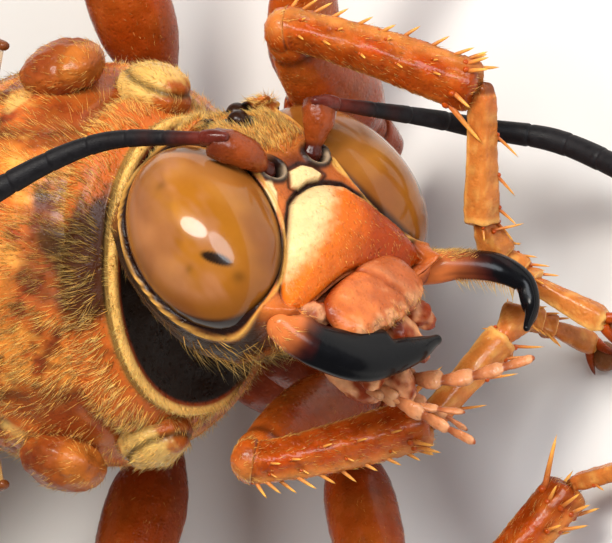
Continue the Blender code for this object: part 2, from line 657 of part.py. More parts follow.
def make_wing(name, side, root, length, width, belly, veins, drop, ridge=0.42):
    """One folded wing: a thin curved plate, its main veins raised on both of its faces."""
    outline = wing_outline(length, width, belly)
    lines = [smooth_rows(np.array(line) * (length, width), 2 * len(line) - 1) for line in veins]
    points, edges = [tuple(point) for point in outline], []
    edges += [(k, (k + 1) % len(outline)) for k in range(len(outline))]
    for line in lines:
        first = len(points)
        points += [tuple(point) for point in line]
        edges += [(first + k, first + k + 1) for k in range(len(line) - 1)]
    centre_lines = np.vstack(lines)
    for line in lines:
        tangents = np.gradient(line, axis=0)
        tangents /= np.linalg.norm(tangents, axis=1)[:, None]
        for sign in (1, -1):
            offsets = line + sign * ridge * np.stack([-tangents[:, 1], tangents[:, 0]], 1)
            clear = polyline_distance(offsets, lines) > ridge * 0.9
            inside = polyline_distance(offsets, [np.vstack([outline, outline[:1]])]) > 0.3
            for point in offsets[clear & inside]:
                if np.abs(np.array(points) - point).max(axis=1).min() > 0.25:
                    points.append(tuple(point))
    flat, _, triangles, *_ = delaunay_2d_cdt([Vector(point) for point in points], edges, [], 1, 1e-4)
    flat = np.array([vertex[:] for vertex in flat])
    raised = np.clip(1 - polyline_distance(flat, lines) / ridge, 0, 1)
    spread = math.radians(WING_SPREAD)
    forward = np.array([math.sin(spread), math.cos(spread)])
    inward = np.array([-math.cos(spread), math.sin(spread)])
    place = np.outer(flat[:, 0], forward) + np.outer(flat[:, 1], inward) + root[:2]
    middle = root[2] + wing_height(flat[:, 0], flat[:, 1], drop)
    place[:, 0] *= side
    top = np.column_stack([place, middle + 0.5 * WING_THICK + 0.20 * raised])
    low = np.column_stack([place, middle - 0.5 * WING_THICK - 0.10 * raised])
    count = len(flat)
    faces = [tuple(face) for face in triangles]
    faces += [tuple(count + k for k in reversed(face)) for face in triangles]
    used = {}
    for face in triangles:
        for a, b in zip(face, face[1:] + face[:1]):
            used[(a, b)] = True
    for a, b in used:
        if (b, a) not in used:
            faces.append((a, b, count + b, count + a))
    return solid(name, np.vstack([top, low]), faces, "wing", 0.25)


def make_wings(thorax, covers):
    """Both pairs, folded back over the abdomen in a narrow V."""
    made = []
    for side, cover in zip((1, -1), covers):
        label = "left" if side > 0 else "right"
        fore = make_wing("forewing_" + label, side, WING_ROOT, 28.8, 8.2, 0.66, FOREWING_VEINS, 0.0)
        hind = make_wing("hindwing_" + label, side, HINDWING_ROOT, 19.5, 6.3, 0.60, HINDWING_VEINS,
                         WING_DROP)
        made += [fore, hind]
    for wing in made:
        make_room(wing, thorax)
    return made


# Legs

def tarsus_points(start, end, sag):
    """The joints of a foot's five segments, sagging to the floor."""
    start, end = np.asarray(start, float), np.asarray(end, float)
    control = blend(start, end, 0.45) - vec(0, 0, sag)
    joints = []
    for share in (0.0, 0.40, 0.56, 0.68, 0.77, 1.0):
        joints.append((1 - share) ** 2 * start + 2 * share * (1 - share) * control + share ** 2 * end)
    return joints


STANDING = FLOOR + 0.42         # height of the middle of a foot's last joint above its pad
LEGS = {
    "fore_left": {"side": 1, "coxa": (1.6, -3.1, -3.1), "trochanter": (2.7, -4.1, -5.0),
                  "knee": (5.1, -6.7, 0.25), "ankle": (3.8, -9.8, -2.67), "stands": False,
                  "rake": (0, -0.67, -0.74),
                  "tarsus": [(3.75, -9.85, -2.7), (0.93, -9.25, -3.25), (0.28, -9.13, -3.86),
                             (-0.15, -9.36, -4.27), (-0.39, -9.62, -4.41), (-1.24, -11.04, -5.24)]},
    "fore_right": {"side": -1, "coxa": (-1.6, -3.1, -3.1), "trochanter": (-2.7, -4.1, -5.0),
                   "knee": (-4.25, -6.1, 0.7), "ankle": (-3.38, -8.33, -2.53), "stands": True,
                   "rake": (-0.7, -0.5, -0.5),
                   "tarsus": [(-3.36, -8.36, -2.56), (-1.59, -9.05, -4.07), (-1.07, -9.0, -4.65),
                              (-1.2, -9.05, -5.1), (-1.35, -9.1, -5.45), (-1.75, -9.3, STANDING)]},
    "mid_left": {"side": 1, "coxa": (1.9, -0.4, -3.9), "trochanter": (3.2, -1.3, -5.2),
                 "knee": (7.8, -4.2, -2.5), "ankle": (9.8, -7.4, -5.9), "stands": True,
                 "tarsus": tarsus_points((9.8, -7.4, -5.9), (12.6, -13.0, STANDING), 0.25)},
    "mid_right": {"side": -1, "coxa": (-1.9, -0.6, -3.9), "trochanter": (-3.0, -2.2, -5.3),
                  "knee": (-8.9, -7.1, -2.8), "ankle": (-4.8, -9.3, -6.0), "stands": True,
                  "tarsus": tarsus_points((-4.8, -9.3, -6.0), (-3.4, -15.3, STANDING), 0.2)},
    "hind_left": {"side": 1, "coxa": (1.8, 2.3, -3.5), "trochanter": (2.9, 3.1, -5.2),
                  "knee": (9.6, 2.9, -1.8), "ankle": (11.6, 10.6, -5.5), "stands": True,
                  "tarsus": tarsus_points((11.6, 10.6, -5.5), (12.6, 19.0, STANDING), 0.35)},
    "hind_right": {"side": -1, "coxa": (-1.8, 2.3, -3.5), "trochanter": (-2.9, 3.1, -5.2),
                   "knee": (-9.4, 2.3, -2.1), "ankle": (-12.0, 9.6, -5.5), "stands": True,
                   "tarsus": tarsus_points((-12.0, 9.6, -5.5), (-13.6, 17.8, STANDING), 0.35)},
}
FEMUR_SIZES = {"fore": (0.50, 1.00, 0.55), "mid": (0.48, 0.92, 0.52), "hind": (0.48, 0.98, 0.60)}
TIBIA_SIZES = {"fore": (0.36, 0.55), "mid": (0.36, 0.52), "hind": (0.40, 0.66)}
TARSUS_SIZES = {"fore": 0.37, "mid": 0.29, "hind": 0.31}

# Rows of spines on each kind of leg: how many, where along the piece the row starts and
# ends, how far round it from its outer side, the spines' length, root radius and lean
TIBIA_SPINES = {
    "fore": ((6, 0.30, 0.88, -5, 0.72, 0.19, 0.8), (2, 0.35, 0.70, 70, 0.50, 0.17, 0.6),
             (1, 0.93, 0.93, -75, 0.75, 0.19, 1.0), (1, 0.93, 0.93, 45, 0.75, 0.19, 1.0),
             (1, 0.93, 0.93, 120, 0.70, 0.19, 1.0)),
    "mid": ((5, 0.22, 0.88, 0, 0.70, 0.19, 0.8), (2, 0.93, 0.93, 180, 0.95, 0.19, 1.0)),
    "hind": ((7, 0.18, 0.90, 15, 0.70, 0.20, 0.8), (2, 0.35, 0.75, -50, 0.60, 0.19, 0.8),
             (1, 0.93, 0.93, 150, 1.25, 0.20, 1.4), (1, 0.93, 0.93, 210, 1.00, 0.20, 1.4))}
TARSUS_SPINES = {
    "fore": ((3, 0.035, 0.10, 0, 0.75, 0.17, 0.8), (3, 0.33, 0.77, 0, 0.50, 0.16, 0.9)),
    "mid": ((4, 0.11, 0.77, 0, 0.50, 0.16, 1.0),),
    "hind": ((4, 0.11, 0.77, 0, 0.55, 0.16, 1.0),)}


def make_coxa(name, leg):
    """The stout first piece of the leg."""
    start, end = np.array(leg["coxa"]), np.array(leg["trochanter"])
    rows = [(*start, 1.05, 1.0), (*blend(start, end, 0.45), 1.1, 1.0), (*blend(start, end, 0.86), 0.62, 0.6)]
    return Tube(rows, (leg["side"], 0, 0), 4, 9, (0.6, 0.8)).build("coxa_" + name, "rust")


def make_femur(name, leg, sizes):
    """Trochanter and femur: a narrow start, a broad middle and a rounded knee."""
    start, end = np.array(leg["trochanter"]), np.array(leg["knee"])
    small, broad, knee = sizes
    rows = [(*start, small, small), (*blend(start, end, 0.10), small * 1.05, small),
            (*blend(start, end, 0.17), small * 0.95, small * 0.9),
            (*blend(start, end, 0.40), broad, broad * 0.85),
            (*blend(start, end, 0.72), broad * 0.85, broad * 0.72), (*end, knee, knee * 0.9)]
    return Tube(rows, (leg["side"], -0.5, 0.3), 9, FEMUR_SIDES, (0.9, 0.9)).build("femur_" + name)


def tibia_tube(leg, sizes):
    """The tibia: slim and bent at the knee, wider at its foot."""
    start, end = np.array(leg["knee"]), np.array(leg["ankle"])
    out = vec(leg["side"], 0, 0.5)
    bow = unit(out - unit(end - start) * (out @ unit(end - start)))
    slim, wide = sizes
    rows = [(*start, slim * 0.9, slim * 0.9), (*(blend(start, end, 0.10) + bow * 0.10), slim, slim),
            (*(blend(start, end, 0.5) + bow * 0.12), blend(slim, wide, 0.55), blend(slim, wide, 0.4)),
            (*blend(start, end, 0.94), wide, wide * 0.85)]
    return Tube(rows, out, 9, 8, (0.9, 0.5))


def tarsus_tube(leg, radius):
    """Five segments, each narrow at its base and wide at its end."""
    joints = [np.array(point) for point in leg["tarsus"]]
    out = vec(*leg.get("rake", (leg["side"], 0, 0.5)))
    rows = []
    for number, (a, b) in enumerate(zip(joints[:-1], joints[1:])):
        size = radius * (1.0, 0.92, 0.86, 0.84, 0.92)[number]
        for share, swell in ((0.0 if number == 0 else 0.10, 0.82), (0.92, 1.08)):
            rows.append((*blend(a, b, share), size * swell, size * swell * 0.92))
    return Tube(rows, out, 0, TARSUS_SIDES, (0.8, 0.8))


def foot_ends(leg):
    """Two claws and the pad between them; a standing foot's pad has a flat sole on the floor."""
    tip, before = np.array(leg["tarsus"][-1]), np.array(leg["tarsus"][-2])
    heading = unit((tip - before) * (1, 1, 0 if leg["stands"] else 1))
    across = unit(np.cross(heading, vec(0, 0, 1)))
    down = np.cross(across, heading) if not leg["stands"] else vec(0, 0, -1)
    down = down if down[2] < 0 else -down
    pieces = []
    for sign in (1, -1):
        rows = [(*tip, 0.16, 0.16),
                (*(tip + heading * 0.45 + across * 0.30 * sign + down * 0.02), 0.15, 0.15),
                (*(tip + heading * 0.75 + across * 0.52 * sign + down * 0.26), 0.06, 0.06)]
        pieces.append(Tube(rows, across, 0, 4, (0.5, 0.8)).build("claw"))
    angles = np.arange(6) * math.pi / 3
    depth = tip[2] - FLOOR if leg["stands"] else 0.3
    rings = []
    for size, level in ((0.34, 0.12), (0.38, 0.55), (0.36, 1.0)):
        middle = tip + heading * 0.30 + down * depth * level
        rings.append([middle + (heading * math.cos(a) + across * math.sin(a)) * size for a in angles])
    pieces.append(loft("pad", rings))
    return pieces


def leg_spines(limb, rows, side, draw):
    """All the spines of one piece of a leg."""
    spines = []
    for count, first, last, degrees, length, radius, lean in rows:
        spines += spine_row(limb, draw, count, first, last, degrees * side, length, radius, lean)
    return spines


def make_leg(name, leg, draw):
    """One leg in four pieces, with its rows of spines."""
    kind = name.split("_")[0]
    coxa = make_coxa(name, leg)
    femur = make_femur(name, leg, FEMUR_SIZES[kind])
    shin = tibia_tube(leg, TIBIA_SIZES[kind])
    tibia = shin.build("tibia_" + name)
    foot = tarsus_tube(leg, TARSUS_SIZES[kind])
    tarsus = foot.build("tarsus_" + name)
    make_room(coxa, femur)
    make_room(tibia, femur)
    make_room(tarsus, tibia)
    unite(tibia, leg_spines(shin, TIBIA_SPINES[kind], leg["side"], draw))
    unite(tarsus, foot_ends(leg) + leg_spines(foot, TARSUS_SPINES[kind], leg["side"], draw))
    return [coxa, femur, tibia, tarsus]


draw = random.Random(SEED)
thorax, rear, cushion, under, collar, covers = make_thorax()
segments = make_abdomen()
wings = make_wings(thorax, covers)
head, eyes, mouth = make_head()
feelers = make_antennae(head, eyes)
neck = Tube([(0.0, -3.9, -0.30, 0.75, 0.75), (-0.15, -4.7, -0.05, 0.7, 0.7),
             (*on_head((0, 0.9, -0.3)), 0.75, 0.75)], (1, 0, 0), 5, 10, (0.4, 0.4)).build("neck", "dark")
make_room(collar, neck)
make_room(head, neck)
make_room(under, neck)
legs = {name: make_leg(name, leg, draw) for name, leg in LEGS.items()}
for name, pieces in legs.items():
    make_room(pieces[0], thorax, under, rear)
make_room(rear, segments[0])

for obj in bpy.data.objects:
    points = np.array([vertex.co[:] for vertex in obj.data.vertices])
    points = (points + (BOX_SHIFT[0], BOX_SHIFT[1], -FLOOR)) * MM
    obj.data.vertices.foreach_set("co", points.ravel())
    obj.data.shade_smooth()
    obj.data.set_sharp_from_angle(angle=math.radians(40))
    obj.data.update()
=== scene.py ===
import math

import bpy
import numpy as np
from mathutils import Matrix, Vector


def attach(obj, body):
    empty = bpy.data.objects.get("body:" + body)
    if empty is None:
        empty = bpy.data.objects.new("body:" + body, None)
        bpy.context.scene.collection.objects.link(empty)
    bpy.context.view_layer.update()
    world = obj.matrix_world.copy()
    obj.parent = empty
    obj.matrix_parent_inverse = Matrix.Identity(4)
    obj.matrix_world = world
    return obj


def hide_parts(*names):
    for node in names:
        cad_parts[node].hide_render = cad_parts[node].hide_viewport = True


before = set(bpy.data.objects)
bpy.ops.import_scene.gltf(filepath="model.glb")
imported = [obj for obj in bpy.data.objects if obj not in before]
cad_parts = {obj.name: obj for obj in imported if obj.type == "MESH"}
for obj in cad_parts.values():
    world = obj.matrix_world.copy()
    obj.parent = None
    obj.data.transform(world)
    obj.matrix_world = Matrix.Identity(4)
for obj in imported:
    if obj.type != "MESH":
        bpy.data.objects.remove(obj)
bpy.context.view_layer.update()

# Every shape below is in millimetres round the middle of the thorax: x to the wasp's left,
# minus y forward, z up. toFloor moves it onto the floor and into metres.
bodyFrame = {"mm": 0.001, "shift": (0.43, -6.62, 7.0), "floor": -7.0, "seed": 29}
headPose = {"centre": (0.6, -6.3, 0.53), "turn": 27.0, "nod": -5.5, "roll": 76.0}


# Small helpers

def toFloor(points):
    # body millimetres to metres on the floor: add the shift, then scale
    return (np.asarray(points, float) + bodyFrame["shift"]) * bodyFrame["mm"]


def unit(vectors):
    # each vector divided by its length
    vectors = np.asarray(vectors, float)
    return vectors / np.maximum(np.linalg.norm(vectors, axis=-1, keepdims=True), 1e-12)


def turned(axis, degrees):
    # the rotation matrix about one axis
    angle = math.radians(degrees)
    c, s = math.cos(angle), math.sin(angle)
    return {"x": np.array([[1, 0, 0], [0, c, -s], [0, s, c]]),
            "y": np.array([[c, 0, s], [0, 1, 0], [-s, 0, c]]),
            "z": np.array([[c, -s, 0], [s, c, 0], [0, 0, 1]])}[axis]


headAxes = turned("z", headPose["turn"]) @ turned("x", headPose["nod"]) @ turned("y", headPose["roll"])


def onHead(points):
    # the head's own frame (left, back, up) to the body's: rotate, then add the centre
    return np.asarray(points, float) @ headAxes.T + headPose["centre"]


def fromHead(points):
    # the way back: take the centre away, then rotate the other way
    return (np.asarray(points, float) - headPose["centre"]) @ headAxes


def softStep(value, low=0.0, high=1.0):
    # 0 below low, 1 above high, 3t2 - 2t3 between
    t = np.clip((np.asarray(value, float) - low) / (high - low), 0, 1)
    return t * t * (3 - 2 * t)


def hump(value, width):
    # a soft bump of height 1: exp of minus the square of value over width
    return np.exp(-(np.asarray(value, float) / width) ** 2)


def mix(first, second, share):
    # first where share is 0 and second where it is 1
    share = np.asarray(share, float)
    if np.ndim(first) + np.ndim(second) > 0 and share.ndim == 1:
        share = share[:, None]
    return np.asarray(first, float) * (1 - share) + np.asarray(second, float) * share


def colour(red, green, blue):
    # screen values 0 to 255 to the linear values that the shaders use
    value = np.array([red, green, blue], float) / 255
    return np.where(value <= 0.04045, value / 12.92, ((value + 0.055) / 1.055) ** 2.4)


def smoothRows(rows, count):
    # a Catmull-Rom curve through the rows, evaluated at count even places
    rows = np.asarray(rows, float)
    padded = np.concatenate([2 * rows[:1] - rows[1:2], rows, 2 * rows[-1:] - rows[-2:-1]])
    place = np.linspace(0, len(rows) - 1, count)
    index = np.minimum(place.astype(int), len(rows) - 2)
    t = (place - index).reshape((-1,) + (1,) * (rows.ndim - 1))
    a, b, c, d = (padded[index + k] for k in range(4))
    return 0.5 * (2 * b + (c - a) * t + (2 * a - 5 * b + 4 * c - d) * t ** 2
                  + (3 * b - a - 3 * c + d) * t ** 3)


def waves(points, size, seed, octaves=3):
    # soft random relief from -1 to 1: sums of sines along random directions, each half as long
    draw = np.random.default_rng(seed)
    total, weight = np.zeros(len(points)), 0.0
    for octave in range(octaves):
        strength = 0.6 ** octave
        for _ in range(5):
            direction = unit(draw.normal(size=3)) * 2 ** octave / size
            total += strength * np.sin(np.asarray(points) @ direction * 2 * math.pi + draw.uniform(0, 6.3))
        weight += strength * 2.2
    return total / weight


# Shells: points, four-sided faces, three-sided faces and values at each point

def shell(points, quads=None, tris=None, **values):
    empty = lambda size: np.zeros((0, size), int)
    return {"points": np.asarray(points, float), "quads": empty(4) if quads is None else quads,
            "tris": empty(3) if tris is None else tris, **values}


def volume(piece):
    # the sum of the tetrahedra between the faces and the origin
    p, q, t = piece["points"], piece["quads"], piece["tris"]
    p = p - p.mean(0)
    total = np.einsum("ij,ij->i", p[t[:, 0]], np.cross(p[t[:, 1]], p[t[:, 2]])).sum()
    for a, b, c in ((0, 1, 2), (0, 2, 3)):
        total += np.einsum("ij,ij->i", p[q[:, a]], np.cross(p[q[:, b]], p[q[:, c]])).sum()
    return total / 6


def outwards(piece):
    # turn every face over when the closed shell is inside out
    if volume(piece) < 0:
        piece["quads"], piece["tris"] = piece["quads"][:, ::-1], piece["tris"][:, ::-1]
    return piece


def closedGrid(grid, start=None, end=None, **values):
    # rings of points joined by quads, each end closed on a pole, by default the ring's middle
    rows, sides = grid.shape[:2]
    index = np.arange(rows * sides).reshape(rows, sides)
    right = np.roll(index, -1, 1)
    quads = np.stack([index[:-1], right[:-1], right[1:], index[1:]], -1).reshape(-1, 4)
    first, last = rows * sides, rows * sides + 1
    tris = np.concatenate([np.stack([right[0], index[0], np.full(sides, first)], 1),
                           np.stack([index[-1], right[-1], np.full(sides, last)], 1)])
    poles = [grid[0].mean(0) if start is None else start, grid[-1].mean(0) if end is None else end]
    points = np.concatenate([grid.reshape(-1, 3), poles])
    across, down = np.meshgrid(np.arange(sides) / sides, (np.arange(rows) + 0.5) / rows)
    values["unwrap"] = np.stack([across, down], -1)
    flat = {}
    for name, table in values.items():
        table = np.asarray(table, float).reshape(rows * sides, -1)
        table = np.concatenate([table, table[:1], table[-1:]])
        flat[name] = table[:, 0] if table.shape[1] == 1 else table
    return outwards(shell(points, quads, tris, **flat))


def joined(pieces):
    # one shell from several, with the values that all of them have
    names = set(pieces[0]) - {"quads", "tris"}
    for piece in pieces:
        names &= set(piece)
    starts = np.cumsum([0] + [len(piece["points"]) for piece in pieces[:-1]])
    whole = {name: np.concatenate([piece[name] for piece in pieces]) for name in names}
    for kind in ("quads", "tris"):
        whole[kind] = np.concatenate([piece[kind] + start for piece, start in zip(pieces, starts)])
    return whole


def normals(piece):
    # each point's normal: the sum of the cross products of its faces' diagonals or edges
    p, q, t = piece["points"], piece["quads"], piece["tris"]
    total = np.zeros_like(p)
    for faces, cross in ((q, np.cross(p[q[:, 2]] - p[q[:, 0]], p[q[:, 3]] - p[q[:, 1]])),
                         (t, np.cross(p[t[:, 1]] - p[t[:, 0]], p[t[:, 2]] - p[t[:, 0]]))):
        for k in range(faces.shape[1]):
            for axis in range(3):
                total[:, axis] += np.bincount(faces[:, k], cross[:, axis], len(p))
    return unit(total)


def raised(piece, height):
    # every point moved along its normal by its height
    piece["points"] = piece["points"] + normals(piece) * np.asarray(height)[:, None]
    return piece


def ball(centre, radii, axes=np.eye(3), rows=24, sides=36):
    # an ellipsoid: rings at even polar angles, scaled by the radii and set on the axes
    polar = np.linspace(0, math.pi, rows + 2)[1:-1, None]
    around = np.linspace(0, 2 * math.pi, sides, endpoint=False)[None]
    local = np.stack([np.sin(polar) * np.cos(around), np.sin(polar) * np.sin(around),
                      -np.cos(polar) * np.ones_like(around)], -1)
    poles = [np.array([0, 0, end]) * radii @ axes.T + centre for end in (-1, 1)]
    return closedGrid(local * radii @ axes.T + centre, *poles, local=local)


def tube(rows, outward, samples=60, sides=20, ends=(0.9, 0.9), shape=None):
    # rings along a smooth path: centre + cos(turn) * side * r1 + sin(turn) * other * r2,
    # with a quarter ellipse of rings over each end; share runs from 0 to 1 along the path
    table = smoothRows(rows, samples)
    path = table[:, :3]
    tangent = unit(np.gradient(path, axis=0))
    side = unit(outward - tangent * (tangent @ np.asarray(outward, float))[:, None])
    other = np.cross(tangent, side)
    share = np.linspace(0, 1, samples)
    sizes = table[:, 3:5] if shape is None else table[:, 3:5] * shape(share)
    turn = np.linspace(0, 2 * math.pi, sides, endpoint=False)
    caps = np.linspace(math.pi / 2, 0, 8)[1:-1]
    order = []
    for place, sign, end, angles in ((0, -1, ends[0], caps), (samples - 1, 1, ends[1], caps[::-1])):
        size = sizes[place].min() * end
        part = ([place] * len(angles), np.cos(angles), sign * np.sin(angles) * size)
        order.append(part)
    middle = (list(range(samples)), np.ones(samples), np.zeros(samples))
    index = np.array(order[0][0] + middle[0] + order[1][0])
    swell = np.concatenate([order[0][1], middle[1], order[1][1]])
    along = np.concatenate([order[0][2], middle[2], order[1][2]])
    centre = path[index] + tangent[index] * along[:, None]
    grid = (centre[:, None] + (swell * sizes[index, 0])[:, None, None] * np.cos(turn)[None, :, None]
            * side[index][:, None] + (swell * sizes[index, 1])[:, None, None]
            * np.sin(turn)[None, :, None] * other[index][:, None])
    start = path[0] - tangent[0] * sizes[0].min() * ends[0]
    end = path[-1] + tangent[-1] * sizes[-1].min() * ends[1]
    shares = np.repeat(share[index][:, None], sides, 1)
    turns = np.repeat(turn[None], len(index), 0)
    return closedGrid(grid, start, end, share=shares, turn=turns)


def alongTube(rows, outward, shares, degrees, samples=60):
    # points on the skin of such a tube, their outward directions and the tube's own direction
    table = smoothRows(rows, samples)
    tangent = unit(np.gradient(table[:, :3], axis=0))
    side = unit(outward - tangent * (tangent @ np.asarray(outward, float))[:, None])
    other = np.cross(tangent, side)
    place = np.clip(shares, 0, 1) * (samples - 1)
    pick = lambda values: np.stack([np.interp(place, np.arange(samples), values[:, k])
                                    for k in range(values.shape[1])], 1)
    row, tangent, side, other = pick(table), unit(pick(tangent)), pick(side), pick(other)
    angle = np.radians(degrees)[:, None]
    offset = side * np.cos(angle) * row[:, 3:4] + other * np.sin(angle) * row[:, 4:5]
    return row[:, :3] + offset, unit(offset), tangent


def edgeDistance(points, outline):
    # distance to a closed outline, positive inside it: nearest edge, sign by counted crossings
    points, outline = np.asarray(points, float), np.asarray(outline, float)
    nearest = np.full(len(points), 1e9)
    inside = np.zeros(len(points), bool)
    for a, b in zip(outline, np.roll(outline, -1, 0)):
        along = np.clip((points - a) @ (b - a) / max((b - a) @ (b - a), 1e-12), 0, 1)
        nearest = np.minimum(nearest, np.linalg.norm(points - a - along[:, None] * (b - a), axis=1))
        crosses = (a[1] > points[:, 1]) != (b[1] > points[:, 1])
        reach = a[0] + (points[:, 1] - a[1]) * (b[0] - a[0]) / (b[1] - a[1] if b[1] != a[1] else 1e-12)
        inside ^= crosses & (points[:, 0] < reach)
    return np.where(inside, nearest, -nearest)


def makePiece(name, piece, finish, stands=(), roots=None):
    # one mesh object at the origin, its points in metres, with its tint and its other values
    mesh = bpy.data.meshes.new(name)
    points = toFloor(piece["points"])
    mesh.vertices.add(len(points))
    mesh.vertices.foreach_set("co", points.ravel())
    quads, tris = piece["quads"], piece["tris"]
    corners = np.concatenate([quads.ravel(), tris.ravel()]).astype(np.int32)
    sizes = np.concatenate([np.full(len(quads), 4), np.full(len(tris), 3)])
    mesh.loops.add(len(corners))
    mesh.loops.foreach_set("vertex_index", corners)
    mesh.polygons.add(len(sizes))
    mesh.polygons.foreach_set("loop_start", np.concatenate([[0], np.cumsum(sizes)[:-1]]).astype(np.int32))
    mesh.polygons.foreach_set("use_smooth", np.ones(len(sizes), bool))
    mesh.update(calc_edges=True)
    tint = np.ones((len(points), 4))
    tint[:, :3] = np.clip(piece["tint"], 0, 1)
    mesh.attributes.new("tint", "FLOAT_COLOR", "POINT").data.foreach_set("color", tint.ravel())
    if "clear" in piece:
        mesh.attributes.new("clear", "FLOAT", "POINT").data.foreach_set("value", piece["clear"])
    if roots is not None:
        layer = mesh.uv_layers.new(name="OFBake")
        layer.data.foreach_set("uv", roots[corners].astype(np.float32).ravel())
    mesh.materials.append(finish)
    made = bpy.data.objects.new(name, mesh)
    bpy.context.scene.collection.objects.link(made)
    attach(made, "root")
    if stands:
        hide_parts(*stands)
    return made


# Finishes

def addNode(tree, kind, inputs=None, **settings):
    # one node: settings are its own properties, inputs are numbers or the sockets to join
    node = tree.nodes.new(kind)
    for key, value in settings.items():
        setattr(node, key, value)
    for key, value in (inputs or {}).items():
        if isinstance(value, bpy.types.NodeSocket):
            tree.links.new(value, node.inputs[key])
        else:
            node.inputs[key].default_value = value
    return node


def shellFinish(name, rough, coat, coatRough, mottle, mottleSize, grain, grainDepth, pits=0.0,
                pitSize=0.1, glow=0.0, roughSpread=0.12):
    # the tint of each point, mottled by soft noise, over a skin with fine grain and pits;
    # sizes are in millimetres, so a noise scale is 1000 over the size in metres
    material = bpy.data.materials.new(name)
    material.use_nodes = True
    tree = material.node_tree
    shader = tree.nodes["Principled BSDF"]
    tint = addNode(tree, "ShaderNodeAttribute", attribute_name="tint")
    place = addNode(tree, "ShaderNodeTexCoord").outputs["Object"]
    cloud = addNode(tree, "ShaderNodeTexNoise", {"Vector": place, "Scale": 1000 / mottleSize,
                                                  "Detail": 4.0, "Roughness": 0.6})
    strength = addNode(tree, "ShaderNodeMapRange", {"Value": cloud.outputs["Fac"], "From Min": 0.3,
                                                     "From Max": 0.7, "To Min": 1 - mottle,
                                                     "To Max": 1 + mottle})
    shade = addNode(tree, "ShaderNodeVectorMath", {0: tint.outputs["Color"]}, operation="SCALE")
    tree.links.new(strength.outputs["Result"], shade.inputs["Scale"])
    tree.links.new(shade.outputs["Vector"], shader.inputs["Base Color"])
    fine = addNode(tree, "ShaderNodeTexNoise", {"Vector": place, "Scale": 1000 / grain, "Detail": 3.0})
    height = fine.outputs["Fac"]
    if pits:
        cells = addNode(tree, "ShaderNodeTexVoronoi", {"Vector": place, "Scale": 1000 / pitSize})
        bowl = addNode(tree, "ShaderNodeMapRange", {"Value": cells.outputs["Distance"], "From Min": 0.0,
                                                     "From Max": 0.35, "To Min": 0.0, "To Max": pits})
        height = addNode(tree, "ShaderNodeMath", {0: height, 1: bowl.outputs["Result"]}).outputs["Value"]
    bump = addNode(tree, "ShaderNodeBump", {"Height": height, "Distance": grainDepth * 0.001,
                                            "Strength": 1.0})
    tree.links.new(bump.outputs["Normal"], shader.inputs["Normal"])
    polish = addNode(tree, "ShaderNodeMapRange", {"Value": cloud.outputs["Fac"], "From Min": 0.3,
                                                   "From Max": 0.7, "To Max": rough + roughSpread,
                                                   "To Min": max(rough - roughSpread, 0.03)})
    tree.links.new(polish.outputs["Result"], shader.inputs["Roughness"])
    # a low reflection, so that the pale floor doesn't veil the deep colours
    shader.inputs["Specular IOR Level"].default_value = 0.16
    shader.inputs["Coat Weight"].default_value = coat
    shader.inputs["Coat Roughness"].default_value = coatRough
    if glow:
        shader.inputs["Subsurface Weight"].default_value = glow
        shader.inputs["Subsurface Radius"].default_value = (1.0, 0.4, 0.12)
        shader.inputs["Subsurface Scale"].default_value = 0.0004
    return material


finishes = {
    "head": shellFinish("headShell", rough=0.30, coat=0.08, coatRough=0.18, mottle=0.12, mottleSize=0.6,
                        grain=0.05, grainDepth=0.014, pits=1.4, pitSize=0.15, glow=0.08),
    "eye": shellFinish("eyeLens", rough=0.20, coat=0.4, coatRough=0.05, mottle=0.08, mottleSize=0.9,
                       grain=0.03, grainDepth=0.0008, pits=0.6, pitSize=0.03, glow=0.10, roughSpread=0.05),
    "dark": shellFinish("darkShell", rough=0.28, coat=0.3, coatRough=0.1, mottle=0.25, mottleSize=0.5,
                        grain=0.07, grainDepth=0.008, pits=0.5, pitSize=0.12),
    "thorax": shellFinish("thoraxShell", rough=0.36, coat=0.2, coatRough=0.2, mottle=0.28, mottleSize=0.7,
                          grain=0.08, grainDepth=0.012, pits=1.2, pitSize=0.12),
    "abdomen": shellFinish("bandedShell", rough=0.28, coat=0.4, coatRough=0.12, mottle=0.16, mottleSize=1.2,
                           grain=0.10, grainDepth=0.006, pits=0.5, pitSize=0.16),
    "leg": shellFinish("legShell", rough=0.26, coat=0.22, coatRough=0.10, mottle=0.20, mottleSize=0.40,
                       grain=0.06, grainDepth=0.014, pits=1.0, pitSize=0.16, glow=0.12),
    "feeler": shellFinish("feelerShell", rough=0.50, coat=0.0, coatRough=0.2, mottle=0.30, mottleSize=0.15,
                          grain=0.03, grainDepth=0.006, pits=0.6, pitSize=0.06),
    "blade": shellFinish("mandibleShell", rough=0.24, coat=0.07, coatRough=0.05, mottle=0.12,
                         mottleSize=0.6, grain=0.20, grainDepth=0.004, pits=0.3, pitSize=0.2,
                         roughSpread=0.05),
    "mouth": shellFinish("mouthShell", rough=0.30, coat=0.12, coatRough=0.12, mottle=0.16, mottleSize=0.4,
                         grain=0.10, grainDepth=0.016, pits=1.0, pitSize=0.12, glow=0.12),
    "hair": shellFinish("goldenHair", rough=0.30, coat=0.0, coatRough=0.2, mottle=0.20, mottleSize=0.25,
                        grain=0.05, grainDepth=0.001, pits=0.0, pitSize=0.1, glow=0.15, roughSpread=0.08),
}
print("finishes ready")

# The head. Its own frame: x to its left, minus y out of the face, z up to the crown.

